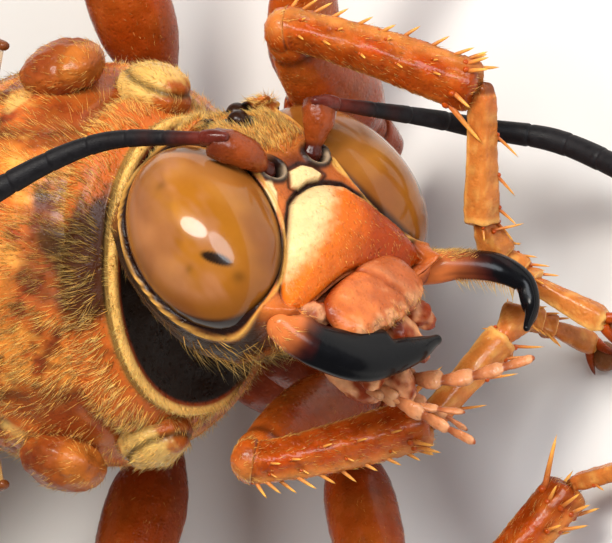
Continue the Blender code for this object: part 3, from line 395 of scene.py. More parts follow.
eyeShape = {"rim": (2.32, -0.94, 0.34), "normal": (0.670, -0.684, 0.290), "tall": 2.26, "wide": 1.62,
            "deep": 1.5, "sunk": 0.4, "edge": 0.975, "ridge": 0.04, "ridgeWidth": 0.016, "rows": 70,
            "sides": 150, "amber": colour(152, 92, 20), "pale": colour(168, 108, 36),
            "smoke": colour(118, 62, 22), "haze": colour(168, 112, 80),
            "rimDark": colour(38, 18, 8), "pupil": colour(20, 9, 4),
            "spots": (((-0.75, 0.16), 0.08, 0.4), ((-0.47, -0.36), 0.08, 0.35), ((0.42, -0.16), 0.09, 0.3))}
headShape = {"rows": (   # height, front of the face, half width of the face, half width, side, back
    (2.62, -0.75, 0.70, 1.30, 0.05, 0.55), (2.25, -1.25, 1.10, 2.20, 0.30, 0.95),
    (1.55, -1.75, 1.25, 3.00, 0.40, 1.15), (0.85, -2.05, 1.20, 3.35, 0.40, 1.20),
    (0.20, -2.15, 1.22, 3.50, 0.35, 1.25), (-0.50, -2.20, 1.38, 3.45, 0.15, 1.20),
    (-1.20, -2.15, 1.70, 3.25, -0.10, 1.10), (-1.80, -2.02, 1.95, 2.90, -0.30, 0.90),
    (-2.28, -1.85, 1.85, 2.45, -0.40, 0.60)),
    "levels": 222, "columns": 318, "crown": (0, -0.2, 2.80), "chin": (0, -0.6, -2.55),
    "smallPlate": ((-0.30, 0.66), (0.10, 0.70), (0.34, 0.56), (0.50, 0.30), (0.30, 0.20),
                   (-0.02, 0.24), (-0.34, 0.16), (-0.50, 0.28)),
    "eyeMark": ((0.86, 0.62), (1.05, 0.62), (1.42, -0.10), (1.62, -0.62), (1.44, -0.50),
                (1.10, -0.02), (0.90, 0.28)),
    "orange": colour(196, 106, 44), "rust": colour(150, 66, 26), "cheek": colour(128, 78, 34),
    "golden": colour(206, 150, 72), "yellow": colour(228, 194, 138), "seam": colour(34, 16, 12),
    "clypeus": colour(224, 108, 22), "clypeusDeep": colour(156, 54, 4), "brown": colour(84, 34, 16),
    "black": colour(18, 13, 12), "crownTint": colour(186, 104, 40),
    "inside": colour(112, 46, 24), "paintedShadeAndBlack": colour(34, 21, 11)}
sockets = {"place": (0.66, 0.82), "radius": 0.31, "pit": 0.26, "rim": 0.27, "tint": colour(172, 148, 120)}
ocelli = {"places": ((0.0, -1.17, 2.33), (0.60, -0.60, 2.66), (-0.60, -0.60, 2.66)), "radius": 0.25,
          "tint": colour(40, 20, 10)}


def eyeFrame(side):
    # the eye's centre and its three axes: out of the eye, along it and across it
    normal = unit(eyeShape["normal"])
    tall = unit(np.array([0, 0, 1]) - normal * normal[2])
    wide = np.cross(normal, tall)
    centre = np.array(eyeShape["rim"])
    flip = np.array([side, 1, 1])
    return centre * flip, normal * flip, tall * flip, wide * flip


def eyePlace(points, side):
    # how far a point lies round and above the eye: 1 on the eye's own outline
    centre, normal, tall, wide = eyeFrame(side)
    local = points - centre
    along, across = local @ tall / eyeShape["tall"], local @ wide / eyeShape["wide"]
    return np.hypot(along, across), along, across, local @ normal


def clypeusOutline(count=14):
    # the shield's edge: an arched base, sides that spread downwards, a hollow lower edge
    t = np.linspace(-1, 1, count)
    base = np.stack([0.80 * t, 0.17 - 0.24 * t ** 2], 1)
    side = smoothRows([(0.80, -0.07), (1.18, -0.52), (1.62, -1.15), (2.02, -1.72), (2.04, -2.14)], count)
    edge = np.stack([1.93 * t[::-1], -1.94 - 0.50 * np.abs(t[::-1]) ** 1.7 + 0.05 * hump(t, 0.25)], 1)
    return np.concatenate([base[:-1], side, edge[1:-1], (side * (-1, 1))[::-1]])


def eyeSpan(x, z):
    # how far back the plane of the eye's rim lies at this place on the head
    rim, normal = eyeShape["rim"], eyeShape["normal"]
    return rim[1] - normal[0] / normal[1] * (x - rim[0]) - normal[2] / normal[1] * (z - rim[2])


def headGrid():
    # levels of a flat face, a facet for each eye and rounded temples; each level is a closed
    # cubic B-spline, (1 4 1) / 6 at its knots, whose corners are pushed out to reach the solids
    table = smoothRows(headShape["rows"], headShape["levels"])
    z, front, face, half, side, back = table.T
    right = [(0.62 * face, front + 0.04), (face, np.maximum(front + 0.12, eyeSpan(face, z) - 0.1)),
             (0.5 * (face + half), eyeSpan(0.5 * (face + half), z)),
             (half * 0.97, np.minimum(side, eyeSpan(half, z))), (half, 0.5 * (side + back)),
             (half * 0.72, back)]
    ring = [(0 * z, front)] + right + [(0 * z, back - 0.15)] + [(-x, y) for x, y in reversed(right)]
    ring = np.stack([np.stack(point, 1) for point in ring], 1)
    pull = (np.roll(ring, 1, 1) + np.roll(ring, -1, 1) + 4 * ring) / 6
    ring = ring + 0.7 * (ring - pull)
    dense = np.linspace(0, 14, 1401)
    weight = np.where(np.minimum(dense, 14 - dense) < 4.2, 2.2, 1.0)
    total = np.concatenate([[0], np.cumsum(0.5 * (weight[1:] + weight[:-1]))])
    u = np.interp(np.linspace(0, total[-1], headShape["columns"], endpoint=False), total, dense)
    index, t = u.astype(int), (u - u.astype(int))[None, :, None]
    a, b, c, d = (ring[:, (index + k) % 14] for k in (-1, 0, 1, 2))
    flat = ((1 - t) ** 3 * a + (3 * t ** 3 - 6 * t ** 2 + 4) * b
            + (-3 * t ** 3 + 3 * t ** 2 + 3 * t + 1) * c + t ** 3 * d) / 6
    grid = np.concatenate([flat, np.repeat(z[:, None, None], len(u), 1)], 2)
    ends = []
    for edge, pole in ((grid[0], headShape["crown"]), (grid[-1], headShape["chin"])):
        angle = np.linspace(0, math.pi / 2, 20)[1:-1, None, None]
        rings = np.array(pole) + (edge - pole) * np.concatenate(
            [np.cos(angle), np.cos(angle), 1 - np.sin(angle)], 2)
        ends.append(rings)
    return np.concatenate([ends[0][::-1], grid, ends[1]])


def makeHead():
    grid = headGrid()
    skin = closedGrid(grid, headShape["crown"], headShape["chin"])
    p = skin["points"]
    n = normals(skin)
    x, y, z = p.T
    facing = softStep(-n[:, 1], 0.15, 0.6) * softStep(-y, 0.9, 1.3)
    height = 0.012 * waves(p, 1.1, 3)
    tint = mix(headShape["orange"], headShape["rust"], 0.5 + 0.5 * waves(p, 1.6, 4))

    # cheeks and the back of the head: brown gold, darker to the neck
    tint = mix(tint, headShape["cheek"], softStep(y, -0.6, 0.3))
    tint = mix(tint, headShape["brown"], softStep(y, 0.7, 1.15) * 0.8)
    height += 0.06 * hump(y - 0.72, 0.10) * softStep(2.3 - np.abs(z), 0.0, 0.6)

    # the shield over the mouth, domed inside its seam
    shield = edgeDistance(p[:, [0, 2]], clypeusOutline())
    on = facing * (y < -1.0)
    dome = 0.30 * (1 - np.exp(-np.clip(shield, 0, None) / 0.42)) * softStep(shield, -0.02, 0.06)
    height += on * (dome - 0.10 * hump(shield, 0.05) + 0.012 * waves(p, 0.5, 5) * (shield > 0))
    plate = mix(headShape["clypeus"], headShape["clypeusDeep"],
                softStep(0.5 * x - 0.45 * z + 0.15 * waves(p, 1.3, 6), 0.15, 1.15))
    # the pale upper part ends at a slanting border
    border = np.interp(x, (-1.6, -0.94, -0.42, 0.18, 0.4, 0.9), (-1.42, -1.22, -0.92, -0.42, -0.10, 0.1))
    pale = softStep(z - border + 0.12 * waves(p, 0.5, 7), -0.30, 0.34)
    pale = np.maximum(pale, 0.65 * softStep(0.22 - shield, 0.0, 0.20) * softStep(z, -1.3, -0.3)
                      * softStep(x, 0.3, 0.9))
    plate = mix(plate, headShape["yellow"], pale)
    plate = mix(plate, headShape["brown"], hump(z + 1.98 + 0.48 * np.abs(x / 1.93) ** 1.7, 0.12)
                * softStep(x, -1.9, -0.6))
    tint = mix(tint, plate, on * softStep(shield, 0.0, 0.04))
    seam = on * hump(shield + 0.04, 0.065) * softStep(z, -1.95, -1.6)
    tint = mix(tint, headShape["seam"], np.clip(1.3 * seam, 0, 1))

    # below the shield the face steps back to the mouth
    below = softStep(-1.84 - 0.46 * np.abs(x / 1.93) ** 1.7 - z, 0, 0.2)
    mouth = facing * softStep(-shield, 0.02, 0.12) * below
    height -= 0.34 * mouth
    tint = mix(tint, headShape["inside"], mouth)

    # the brown forehead, the small plate between the sockets and the shield, the marks by the eyes
    tint = mix(tint, headShape["brown"], 0.9 * on * hump(x / 0.9, 1.0) * hump((z - 0.75) / 0.48, 1.0))
    small = edgeDistance(p[:, [0, 2]], headShape["smallPlate"])
    height += on * (0.07 * softStep(small, -0.02, 0.08) - 0.05 * hump(small, 0.05))
    tint = mix(tint, headShape["seam"], on * hump(small + 0.05, 0.05) * 0.9)
    tint = mix(tint, headShape["yellow"], on * softStep(small, 0.0, 0.05))
    for side in (1, -1):
        mark = edgeDistance(p[:, [0, 2]] * (side, 1), headShape["eyeMark"])
        height += on * 0.03 * softStep(mark, -0.02, 0.06)
        tint = mix(tint, headShape["yellow"] if side < 0 else headShape["golden"],
                   on * softStep(mark, -0.01, 0.05))

    # sockets of the feelers: a raised rim round a dark pit
    for side in (1, -1):
        away = np.hypot(x - side * sockets["place"][0], z - sockets["place"][1])
        pit = softStep(sockets["pit"] - away, 0, 0.12)
        height += on * (0.10 * hump(away - sockets["radius"], 0.07) - 0.30 * pit)
        tint = mix(tint, headShape["seam"], on * softStep(0.43 - away, 0, 0.08))
        # a pale crescent on the lower side of each socket's rim: partly the rim's own pale colour, partly a
        # painted highlight
        lower = softStep(-z + sockets["place"][1], -0.05, 0.15)
        tint = mix(tint, sockets["tint"], 0.85 * on * hump(away - sockets["rim"], 0.045) * lower)
    tint = mix(tint, headShape["crownTint"], 0.8 * softStep(z, 0.95, 1.3) * softStep(-y, 0.0, 0.4))
    tint = mix(tint, headShape["brown"],
               0.5 * softStep(z, 0.95, 1.3) * softStep(waves(p, 0.7, 8), 0.1, 0.7))
    crown = on * softStep(z, 0.9, 1.2)
    height -= crown * 0.06 * hump(x, 0.07) * softStep(2.1 - z, 0, 0.3)
    height += crown * 0.05 * hump(np.abs(x) - 0.55, 0.35)

    # black marks round the three small eyes on the crown
    for place in ocelli["places"]:
        away = np.linalg.norm(p - place, axis=1)
        tint = mix(tint, headShape["black"], softStep(0.46 - away, 0, 0.12))
        height += 0.04 * hump(away - 0.30, 0.08)

    # eye sockets: the skin dives under the eye inside a raised pale ridge
    for side in (1, -1):
        ratio, _, across, out = eyePlace(p, side)
        near = softStep(0.9 - np.abs(out), 0, 0.3)
        behind = softStep(-across, -0.35, 0.10) * softStep(1.75 - z, 0.0, 0.6)
        behind = behind * softStep(1.9 - np.abs(out), 0, 0.5)
        # the temple behind each eye is mixed towards near-black: painted shade on the head's rear
        tint = mix(tint, headShape["paintedShadeAndBlack"], 0.95 * behind * softStep(ratio, 1.055, 1.075))
        ridge = near * hump(ratio - 1.05, eyeShape["ridgeWidth"])
        height += ridge * (0.05 + eyeShape["ridge"] * softStep(y, -1.6, -0.8))
        height -= 0.30 * behind * softStep(ratio, 1.09, 1.35)
        dip = near * softStep(eyeShape["edge"] - ratio, -0.02, 0.05)
        height -= 0.75 * dip
        tint = mix(tint, headShape["golden"], np.clip(ridge * softStep(y, -1.9, -1.3) * 1.2, 0, 1))
        inner = softStep(across, 0.1, 0.5)
        tint = mix(tint, headShape["seam"], near * softStep(1.040 - 0.035 * inner - ratio, -0.005, 0.015))
        tint = mix(tint, headShape["golden"], 0.8 * near * inner * hump(ratio - 1.035, 0.02))
    raised(skin, height)
    skin["tint"] = tint
    skin["points"] = onHead(skin["points"])
    return skin


def makeEye(side):
    # a dome on an ellipse: rings at even angles from below the rim up to its pole
    centre, normal, tall, wide = eyeFrame(side)
    deep, sunk = eyeShape["deep"], eyeShape["sunk"]
    start = math.asin((-0.45 + sunk) / deep)
    angle = np.linspace(start, math.pi / 2, eyeShape["rows"])[:-1, None, None]
    turn = np.linspace(0, 2 * math.pi, eyeShape["sides"], endpoint=False)[None, :, None]
    flat = np.cos(turn) * eyeShape["tall"] * tall + np.sin(turn) * eyeShape["wide"] * wide
    grid = centre - normal * sunk + flat * np.cos(angle) + normal * deep * np.sin(angle)
    eye = closedGrid(grid, None, centre - normal * sunk + normal * deep)
    ratio, along, across, _ = eyePlace(eye["points"], side)
    place = np.stack([along, across, 0 * along + side], 1)
    cloud = waves(place, 1.1, 11)
    tint = mix(eyeShape["amber"], eyeShape["pale"], softStep(cloud + 0.5 * along, -0.2, 0.9))
    tint = mix(tint, eyeShape["smoke"], 0.55 * softStep(waves(place, 1.5, 12) + 0.2 * ratio, 0.1, 0.9))
    tint = mix(tint, eyeShape["smoke"], 0.5 * softStep(ratio, 0.55, 0.95))
    tint = mix(tint, eyeShape["haze"], 0.35 * hump(ratio - 0.62, 0.22) * softStep(along, -0.4, 0.6))
    veilShare = softStep(0.92 - ratio, 0, 0.15)
    veil = softStep(-0.1 + waves(place, 0.5, 13) * 0.6 - across, -0.35, 0.5) * veilShare
    tint = mix(tint, eyeShape["haze"], 0.45 * veil)
    cloudy = softStep(waves(place, 0.8, 14, 2) + 0.3 * veil, 0.2, 0.9)
    tint = mix(tint, eyeShape["smoke"] * 0.7, 0.30 * cloudy)
    # the dark mark: an ellipse whose long axis leans between the eye's two axes
    u, v = along + 0.53, across - 0.02
    oval = np.hypot((0.83 * v - 0.55 * u) / 0.17, (0.55 * v + 0.83 * u) / 0.055)
    tint = mix(tint, eyeShape["pupil"], 0.97 * softStep(1.3 - oval, 0.0, 0.5))
    for at, size, dark in eyeShape["spots"]:
        away = np.hypot((along - at[0]) * 1.8, across - at[1]) + 0.02 * cloud
        tint = mix(tint, eyeShape["pupil"], dark * hump(away, size))
    tint = mix(tint, eyeShape["rimDark"], softStep(ratio, 0.955, 0.985))
    eye["tint"] = tint
    eye["points"] = onHead(eye["points"])
    return eye


headSkin = makeHead()
makePiece("headSkin", headSkin, finishes["head"], ("head",))
for side, label in ((1, "left"), (-1, "right")):
    makePiece("eyeDome" + label.title(), makeEye(side), finishes["eye"], ("eye_" + label,))
beads = []
for place in ocelli["places"]:
    bead = ball(place, np.full(3, ocelli["radius"]), rows=16, sides=24)
    bead["tint"] = np.tile(ocelli["tint"], (len(bead["points"]), 1))
    bead["points"] = onHead(bead["points"])
    beads.append(bead)
makePiece("ocelli", joined(beads), finishes["blade"])
print("head ready")


# Bristles, spines and hair: tapered, bent spikes made all at once

def spikes(roots, aims, lengths, radii, bends, tint, tipTint, sides=3, rings=2, unwrap=None, power=0.8):
    # each spike's middle is root + aim * length * t + bend * length * t * t, with t from 0 to 1,
    # and its radius falls as (1 - t) to a power; the root is closed and sits in the skin
    count = len(roots)
    aims = unit(aims)
    side = unit(np.cross(aims, np.array([0.31, 0.52, 0.79])))
    other = np.cross(aims, side)
    t = np.linspace(0, 1, rings + 1)[:-1]
    turn = np.arange(sides) * 2 * math.pi / sides
    lengths, radii = np.asarray(lengths, float)[:, None, None], np.asarray(radii, float)
    middle = (roots[:, None] + aims[:, None] * lengths * t[None, :, None]
              + bends[:, None] * lengths * (t ** 2)[None, :, None])
    size = radii[:, None, None, None] * ((1 - t) ** power)[None, :, None, None]
    spread = (np.cos(turn)[None, None, :, None] * side[:, None, None]
              + np.sin(turn)[None, None, :, None] * other[:, None, None])
    ring = middle[:, :, None] + spread * size
    tip = roots + (aims + bends) * lengths[:, 0]
    each = rings * sides + 1
    points = np.concatenate([ring.reshape(count, -1, 3), tip[:, None]], 1).reshape(-1, 3)
    index = np.arange(rings * sides).reshape(rings, sides)
    right = np.roll(index, -1, 1)
    quads = np.stack([index[:-1], right[:-1], right[1:], index[1:]], -1).reshape(-1, 4)
    tris = np.stack([index[-1], right[-1], np.full(sides, each - 1)], 1)
    fan = np.stack([np.full(sides - 2, 0), np.arange(2, sides), np.arange(1, sides - 1)], 1)
    tris = np.concatenate([tris, fan])
    shift = (np.arange(count) * each)[:, None, None]
    fade = np.concatenate([np.repeat(t, sides), [1.0]])[None, :, None] ** 1.3
    tint = np.broadcast_to(np.asarray(tint, float), (count, 3))[:, None]
    tipTint = np.broadcast_to(np.asarray(tipTint, float), (count, 3))[:, None]
    made = shell(points, (quads[None] + shift).reshape(-1, 4), (tris[None] + shift).reshape(-1, 3),
                 tint=(tint * (1 - fade) + tipTint * fade).reshape(-1, 3))
    patch = 0.0015 * np.stack([np.cos(turn), np.sin(turn)], 1)
    patch = np.concatenate([np.tile(patch, (rings, 1)) * (1 - np.repeat(t, sides))[:, None], [[0, 0]]])
    base = np.zeros((count, 2)) if unwrap is None else unwrap
    made["unwrap"] = (base[:, None] + patch[None]).reshape(-1, 2)
    return made


def scatter(piece, count, seed, weight=None):
    # random places on the quads of a skin, as many as their area times their weight asks for
    draw = np.random.default_rng(seed)
    p, q = piece["points"], piece["quads"]
    area = np.linalg.norm(np.cross(p[q[:, 2]] - p[q[:, 0]], p[q[:, 3]] - p[q[:, 1]]), axis=1)
    if weight is not None:
        area = area * weight[q].mean(1)
    pick = draw.choice(len(q), count, p=area / area.sum())
    a, b = draw.uniform(size=(2, count, 1))
    shares = ((1 - a) * (1 - b), a * (1 - b), a * b, (1 - a) * b)
    found = {}
    unwrap = piece["unwrap"][q[pick]]
    unwrap = unwrap + (unwrap[:, :1] - unwrap > 0.5) * 1.0 - (unwrap - unwrap[:, :1] > 0.5) * 1.0
    found["unwrap"] = sum(unwrap[:, k] * share for k, share in enumerate(shares)) % 1.0
    found["points"] = sum(p[q[pick, k]] * share for k, share in enumerate(shares))
    n = normals(piece)
    found["normals"] = unit(sum(n[q[pick, k]] * share for k, share in enumerate(shares)))
    found["tint"] = sum(piece["tint"][q[pick, k]] * share for k, share in enumerate(shares))
    found["draw"] = draw
    return found


hairLook = {"gold": colour(255, 170, 62), "pale": colour(255, 222, 128), "brown": colour(160, 84, 30),
            "share": 0.7}


def coat(piece, count, seed, weight, lie, length, radius, lift, tone="gold", spread=0.22, bend=0.3,
         whirl=0.35, rings=2):
    # hairs along the lie of the coat: aim = lie laid on the skin + lift * normal + a random part,
    # with slow waves in the lie so that the hairs gather; each takes part of the skin's colour
    roots = scatter(piece, count, seed, weight)
    draw, n, p = roots["draw"], roots["normals"], roots["points"]
    lie = np.broadcast_to(np.asarray(lie(p) if callable(lie) else lie, float), n.shape)
    sway = np.stack([waves(p, 0.8, seed + k, 2) for k in range(3)], 1)
    lie = unit(lie) + whirl * sway
    flat = unit(lie - n * np.einsum("ij,ij->i", lie, n)[:, None] + 1e-6)
    aims = unit(flat + n * lift + draw.normal(0, spread, (count, 3)))
    lengths = length * draw.uniform(0.6, 1.3, count)
    # the spread of brightness from hair to hair and the pale tips are partly the hairs' own tone and partly
    # painted glints
    bright = np.clip(5 * roots["tint"].mean(1), 0, 1)
    shade = draw.uniform(0.35, 1.6, (count, 1)) * mix(0.55, 1.0, bright)[:, None]
    body = mix(hairLook["brown"], hairLook[tone], np.clip(shade, 0, 1))
    tint = mix(roots["tint"], body * shade, hairLook["share"])
    tip = mix(roots["tint"], hairLook["pale"] * shade, 0.8 if tone == "gold" else 0.35)
    return spikes(p - n * 0.02, aims, lengths, radius * draw.uniform(0.8, 1.2, count),
                  bend * (flat - 0.6 * lift * n), np.clip(tint, 0, 1), np.clip(tip, 0, 1), rings=rings,
                  unwrap=roots["unwrap"])


def makeCoat(name, parts):
    whole = joined(parts)
    print(name, len(whole["quads"]) * 2 + len(whole["tris"]), "triangles")
    return makePiece(name, whole, finishes["hair"], roots=whole["unwrap"])


# Feelers: a stout scape, a small pedicel and eleven joints

feelers = {
    "left": {"bends": ((0.66, -1.85, 0.82), (0.9, -2.34, 1.35), (1.12, -2.50, 1.78)),
             "run": ((3.48, -7.97, -0.10), (3.20, -8.41, -2.46), (2.98, -8.91, -3.62),
                     (2.72, -10.15, -4.55), (2.17, -11.65, -4.87), (1.52, -13.17, -4.91),
                     (0.74, -14.8, -4.80))},
    "right": {"bends": ((-0.66, -1.85, 0.82), (-1.28, -2.30, 1.24), (-1.83, -2.11, 1.81)),
              "run": ((2.72, -7.29, 3.11), (2.63, -4.80, 3.94), (1.63, -3.04, 5.29), (0.43, -1.90, 6.40),
                      (-0.98, -1.30, 7.20), (-2.50, -1.00, 7.80))}}
feelerLook = {"joints": 11, "base": 0.145, "middle": 0.27, "tip": 0.19, "notch": 0.06,
              "black": colour(24, 22, 24), "red": colour(88, 30, 20), "scape": colour(134, 58, 18)}


def evenPath(points, count):
    # points at even distances along the smooth curve through the given points
    dense = smoothRows(points, 400)
    run = np.concatenate([[0], np.cumsum(np.linalg.norm(np.diff(dense, axis=0), axis=1))])
    at = np.linspace(0, run[-1], count)
    return np.stack([np.interp(at, run, dense[:, k]) for k in range(3)], 1)


def makeFeeler(label):
    bends, run = feelers[label]["bends"], feelers[label]["run"]
    swell = lambda share: np.interp(share, (0, 0.08, 0.19, 0.5, 0.8, 1),
                                    (0.22, 0.26, 0.19, 0.35, 0.40, 0.33))
    rows = [(*onHead(point), 1.0, 0.95) for point in bends]
    scape = tube(rows, (0, 0, 1), 60, 40, (0.28, 0.28), lambda share: swell(share)[:, None])
    scape["tint"] = mix(feelerLook["red"] * 0.6, feelerLook["scape"], softStep(scape["share"], 0.16, 0.30)
                        * (1 - 0.7 * softStep(scape["share"], 0.6, 1.0)))
    raised(scape, 0.012 * waves(scape["points"], 0.5, 21))
    count = 440
    path = evenPath(run, count)
    ahead = unit(path[1] - path[0])
    knob = tube([(*(path[0] - ahead * 0.52), 0.12, 0.12), (*(path[0] - ahead * 0.25), 0.18, 0.18),
                 (*(path[0] - ahead * 0.04), 0.17, 0.17)], (0, 0, 1), 16, 32)
    knob["tint"] = np.tile(feelerLook["red"], (len(knob["points"]), 1))
    share = np.linspace(0, 1, count)
    joint = (share * feelerLook["joints"]) % 1.0
    size = np.interp(share, (0, 0.12, 0.5, 0.9, 1), (feelerLook["base"], 0.185, feelerLook["middle"], 0.26,
                                                     feelerLook["tip"]))
    edge = hump(np.minimum(joint, 1 - joint), 0.035) * (share > 0.01) * (share < 0.99)
    size = size * (1 - feelerLook["notch"] * edge) * (1 - 0.05 * (1 - joint))
    whip = tube(np.column_stack([path, size, size]), (0, 0.2, 1), count, 22, (0.8, 1.0))
    whip["tint"] = mix(feelerLook["red"], feelerLook["black"], softStep(whip["share"], 0.0, 0.10))
    whip["tint"] = mix(whip["tint"], feelerLook["red"] * 0.4,
                       0.5 * hump(((whip["share"] * feelerLook["joints"]) % 1) - 0.5, 0.2)
                       * softStep(0.25 - whip["share"], 0, 0.2))
    return joined([scape, knob]), whip


for label in ("left", "right"):
    scape, whip = makeFeeler(label)
    makePiece("scape" + label.title(), scape, finishes["leg"], ("scape_" + label,))
    makePiece("flagellum" + label.title(), whip, finishes["feeler"],
              ("flagellum_inner_" + label, "flagellum_outer_" + label))
print("feelers ready")


# The mouth: mandibles, upper lip, tongue parts and jointed palps, all in the head's own frame

mouthLook = {"orange": colour(200, 108, 54), "lip": colour(174, 88, 44), "pink": colour(216, 150, 104),
             "deep": colour(130, 46, 12), "palp": colour(180, 112, 70), "palpDeep": colour(136, 70, 38),
             "palpEnd": colour(214, 166, 124), "wine": colour(70, 22, 18), "black": colour(8, 8, 11)}
mandibles = {
    "right": {"rows": ((-2.20, -1.62, -2.34, 0.44, 0.38), (-2.02, -1.68, -2.74, 0.50, 0.42),
                       (-1.70, -1.74, -3.20, 0.50, 0.44), (-0.95, -1.90, -3.80, 0.50, 0.42),
                       (0.05, -2.22, -4.08, 0.30, 0.30), (0.74, -2.34, -4.06, 0.12, 0.13)),
              "inner": (0.5, 0, 1), "wine": (0.14, 0.36), "tooth": (0.70, 0.42, 0.26)},
    "left": {"rows": ((2.28, -1.38, -2.18, 0.40, 0.34), (2.50, -1.68, -2.40, 0.38, 0.32),
                      (2.80, -2.02, -2.62, 0.34, 0.29), (3.28, -2.46, -3.05, 0.33, 0.25),
                      (3.66, -2.60, -3.60, 0.24, 0.21), (3.50, -2.57, -4.20, 0.17, 0.16),
                      (3.04, -2.60, -4.58, 0.08, 0.08)),
             "inner": (-0.6, 0.2, -0.8), "wine": (0.30, 0.56), "tooth": (0.66, 0.30, 0.05)}}
palps = (
    (((0.35, -0.85, -4.0), (0.7, -1.79, -4.75), (1.1, -2.48, -5.12), (1.78, -3.6, -5.48)), 0.27, 5),
    (((-0.25, -0.95, -4.2), (-0.1, -1.91, -5.58), (0.0, -2.6, -6.5)), 0.22, 4),
    (((0.5, -0.6, -4.0), (0.95, -0.9, -5.0), (1.3, -1.2, -5.9)), 0.20, 4),
    (((-0.45, -0.8, -4.1), (0.0, -1.5, -5.0), (0.45, -2.3, -5.75)), 0.21, 4))


def headTube(rows, outward, **options):
    # a tube given in the head's own frame
    table = np.asarray(rows, float)
    return tube(np.hstack([onHead(table[:, :3]), table[:, 3:]]), headAxes @ np.asarray(outward, float),
                **options)


def makeMandible(label):
    look = mandibles[label]
    blade = headTube(look["rows"], look["inner"], samples=120, sides=48, ends=(0.8, 1.2))
    share, turn = blade["share"], blade["turn"]
    inner = np.clip(np.cos(turn), 0, 1) ** 3
    at, rise, size = look["tooth"]
    height = inner * size * softStep(share, at - rise, at) * softStep(at + 0.035 - share, 0, 0.035)
    height += inner * 0.05 * softStep(share, at + 0.02, at + 0.1) * softStep(0.98 - share, 0, 0.1)
    for depth, at, wide in ((0.035, 0.35, 0.16), (0.03, -0.45, 0.14)):
        groove = depth * hump(np.sin(turn) - at, wide)
        height -= groove * softStep(share, 0.08, 0.3) * softStep(0.8 - share, 0, 0.3)
    raised(blade, height)
    low, high = look["wine"]
    tint = mix(mouthLook["orange"], mouthLook["wine"], softStep(share, low * 0.4, high * 0.9))
    blade["tint"] = mix(tint, mouthLook["black"], softStep(share + 0.05 * waves(blade["points"], 0.8, 31),
                                                           low, high))
    return blade


def makeLip():
    # the upper lip: a flat plate with a crease, a rounded left lobe and a wrinkled lower edge
    axes = headAxes @ turned("y", -12) @ turned("x", -8)
    lip = ball(np.zeros(3), np.ones(3), axes, 96, 140)
    x, y, z = lip["local"].T
    round2 = x ** 2 + z ** 2
    squarer = np.sqrt(round2) / np.maximum((np.abs(x) ** 3 + np.abs(z) ** 3) ** (1 / 3), 1e-9)
    flatter = np.sign(y) * np.sqrt(np.clip(1 - round2 ** 2, 0, 1))
    lip["points"] = onHead((0.08, -1.98, -2.62)) + (np.stack([x * squarer, flatter, z * squarer], 1)
                                                    * (1.38, 0.30, 0.72)) @ axes.T
    front = softStep(-y, -0.1, 0.4)
    crease = x - 0.22 + 0.16 * z
    low = softStep(-z, 0.25, 0.75)
    height = front * (-0.05 * hump(crease, 0.035) + 0.03 * softStep(crease, 0.0, 0.05))
    height += front * 0.05 * hump(x + 0.62, 0.22) * hump(z + 0.45, 0.3)
    height -= 0.06 * front * hump(x + 0.38, 0.05) * low
    height += low * (0.02 * np.sin(22 * x + 9 * z + 2 * z * x) + 0.035 * waves(lip["points"], 0.35, 33, 2))
    height -= 0.03 * front * hump(x + 0.15 + 0.3 * z, 0.04) * softStep(-z, -0.3, 0.3)
    height += 0.06 * front * (1 - round2) + 0.008 * waves(lip["points"], 0.4, 34)
    raised(lip, height)
    tint = mix(mouthLook["lip"], mouthLook["orange"],
               softStep(waves(lip["points"], 0.9, 32) - x, -0.4, 0.8))
    # the pale pink streaks, the paler lower edge and the pale line beside the crease are partly the lip's
    # own pale creases and margin and partly painted highlight
    streaks = waves(np.stack([x * 2.2, z * 0.7 + x * 0.5, 0 * x], 1), 0.6, 39, 2)
    tint = mix(tint, mouthLook["pink"], 0.8 * softStep(0.8 * streaks + 1.3 * low * front, 0.6, 1.5)
               + 0.25 * hump(crease - 0.12, 0.08))
    tint = mix(tint, mouthLook["deep"], softStep(np.hypot(x, z), 0.80, 1.0) * softStep(z, -0.3, 0.5))
    lip["tint"] = mix(tint, mouthLook["deep"], 0.6 * hump(crease, 0.05) * front)
    return lip


# the tongue's parts: centre, radii and tilt in the head's frame
tongueBalls = (((0.0, -0.75, -3.2), (1.0, 0.60, 1.30), 0), ((-1.36, -1.72, -2.42), (0.42, 0.26, 0.30), 30),
               ((0.55, -1.65, -3.45), (0.42, 0.34, 0.85), -18),
               ((-0.45, -1.45, -3.6), (0.40, 0.32, 0.85), 14), ((0.10, -1.30, -4.2), (0.36, 0.42, 0.75), 0),
               ((1.15, -1.75, -3.15), (0.30, 0.30, 0.60), -35))


def makeTongue():
    parts = []
    for centre, radii, tilt in tongueBalls:
        part = ball(onHead(centre), np.array(radii), headAxes @ turned("y", tilt), 40, 50)
        raised(part, 0.05 * waves(part["points"], 0.8, 35) + 0.02 * waves(part["points"], 0.25, 36))
        part["tint"] = mix(mouthLook["pink"], mouthLook["deep"],
                           softStep(waves(part["points"], 0.7, 37), -0.7, 0.5))
        parts.append(part)
    for points, radius, segments in palps:
        count = 24 * segments
        path = evenPath(points, count)
        share = np.linspace(0, 1, count)
        joint = (share * segments) % 1.0
        club = softStep(joint, -0.1, 0.7) * np.sqrt(np.clip((1 - joint) / 0.16, 0, 1))
        size = radius * (0.50 + 0.42 * club) * np.interp(share, (0, 0.35, 0.7, 1), (0.95, 1.0, 0.70, 0.46))
        bead = headTube(np.column_stack([path, size, size * 0.55]), (-0.1, 0.7, 0.7), samples=count,
                        sides=28, ends=(0.6, 1.0))
        raised(bead, 0.010 * waves(bead["points"], 0.25, 38))
        part = (bead["share"] * segments) % 1
        tint = mix(mouthLook["palpDeep"], mouthLook["palp"], softStep(part, 0.05, 0.5))
        bead["tint"] = mix(tint, mouthLook["palpEnd"], 0.35 * softStep(part, 0.60, 0.92))
        parts.append(bead)
    return joined([{key: part[key] for key in ("points", "quads", "tris", "tint", "unwrap")}
                   for part in parts])


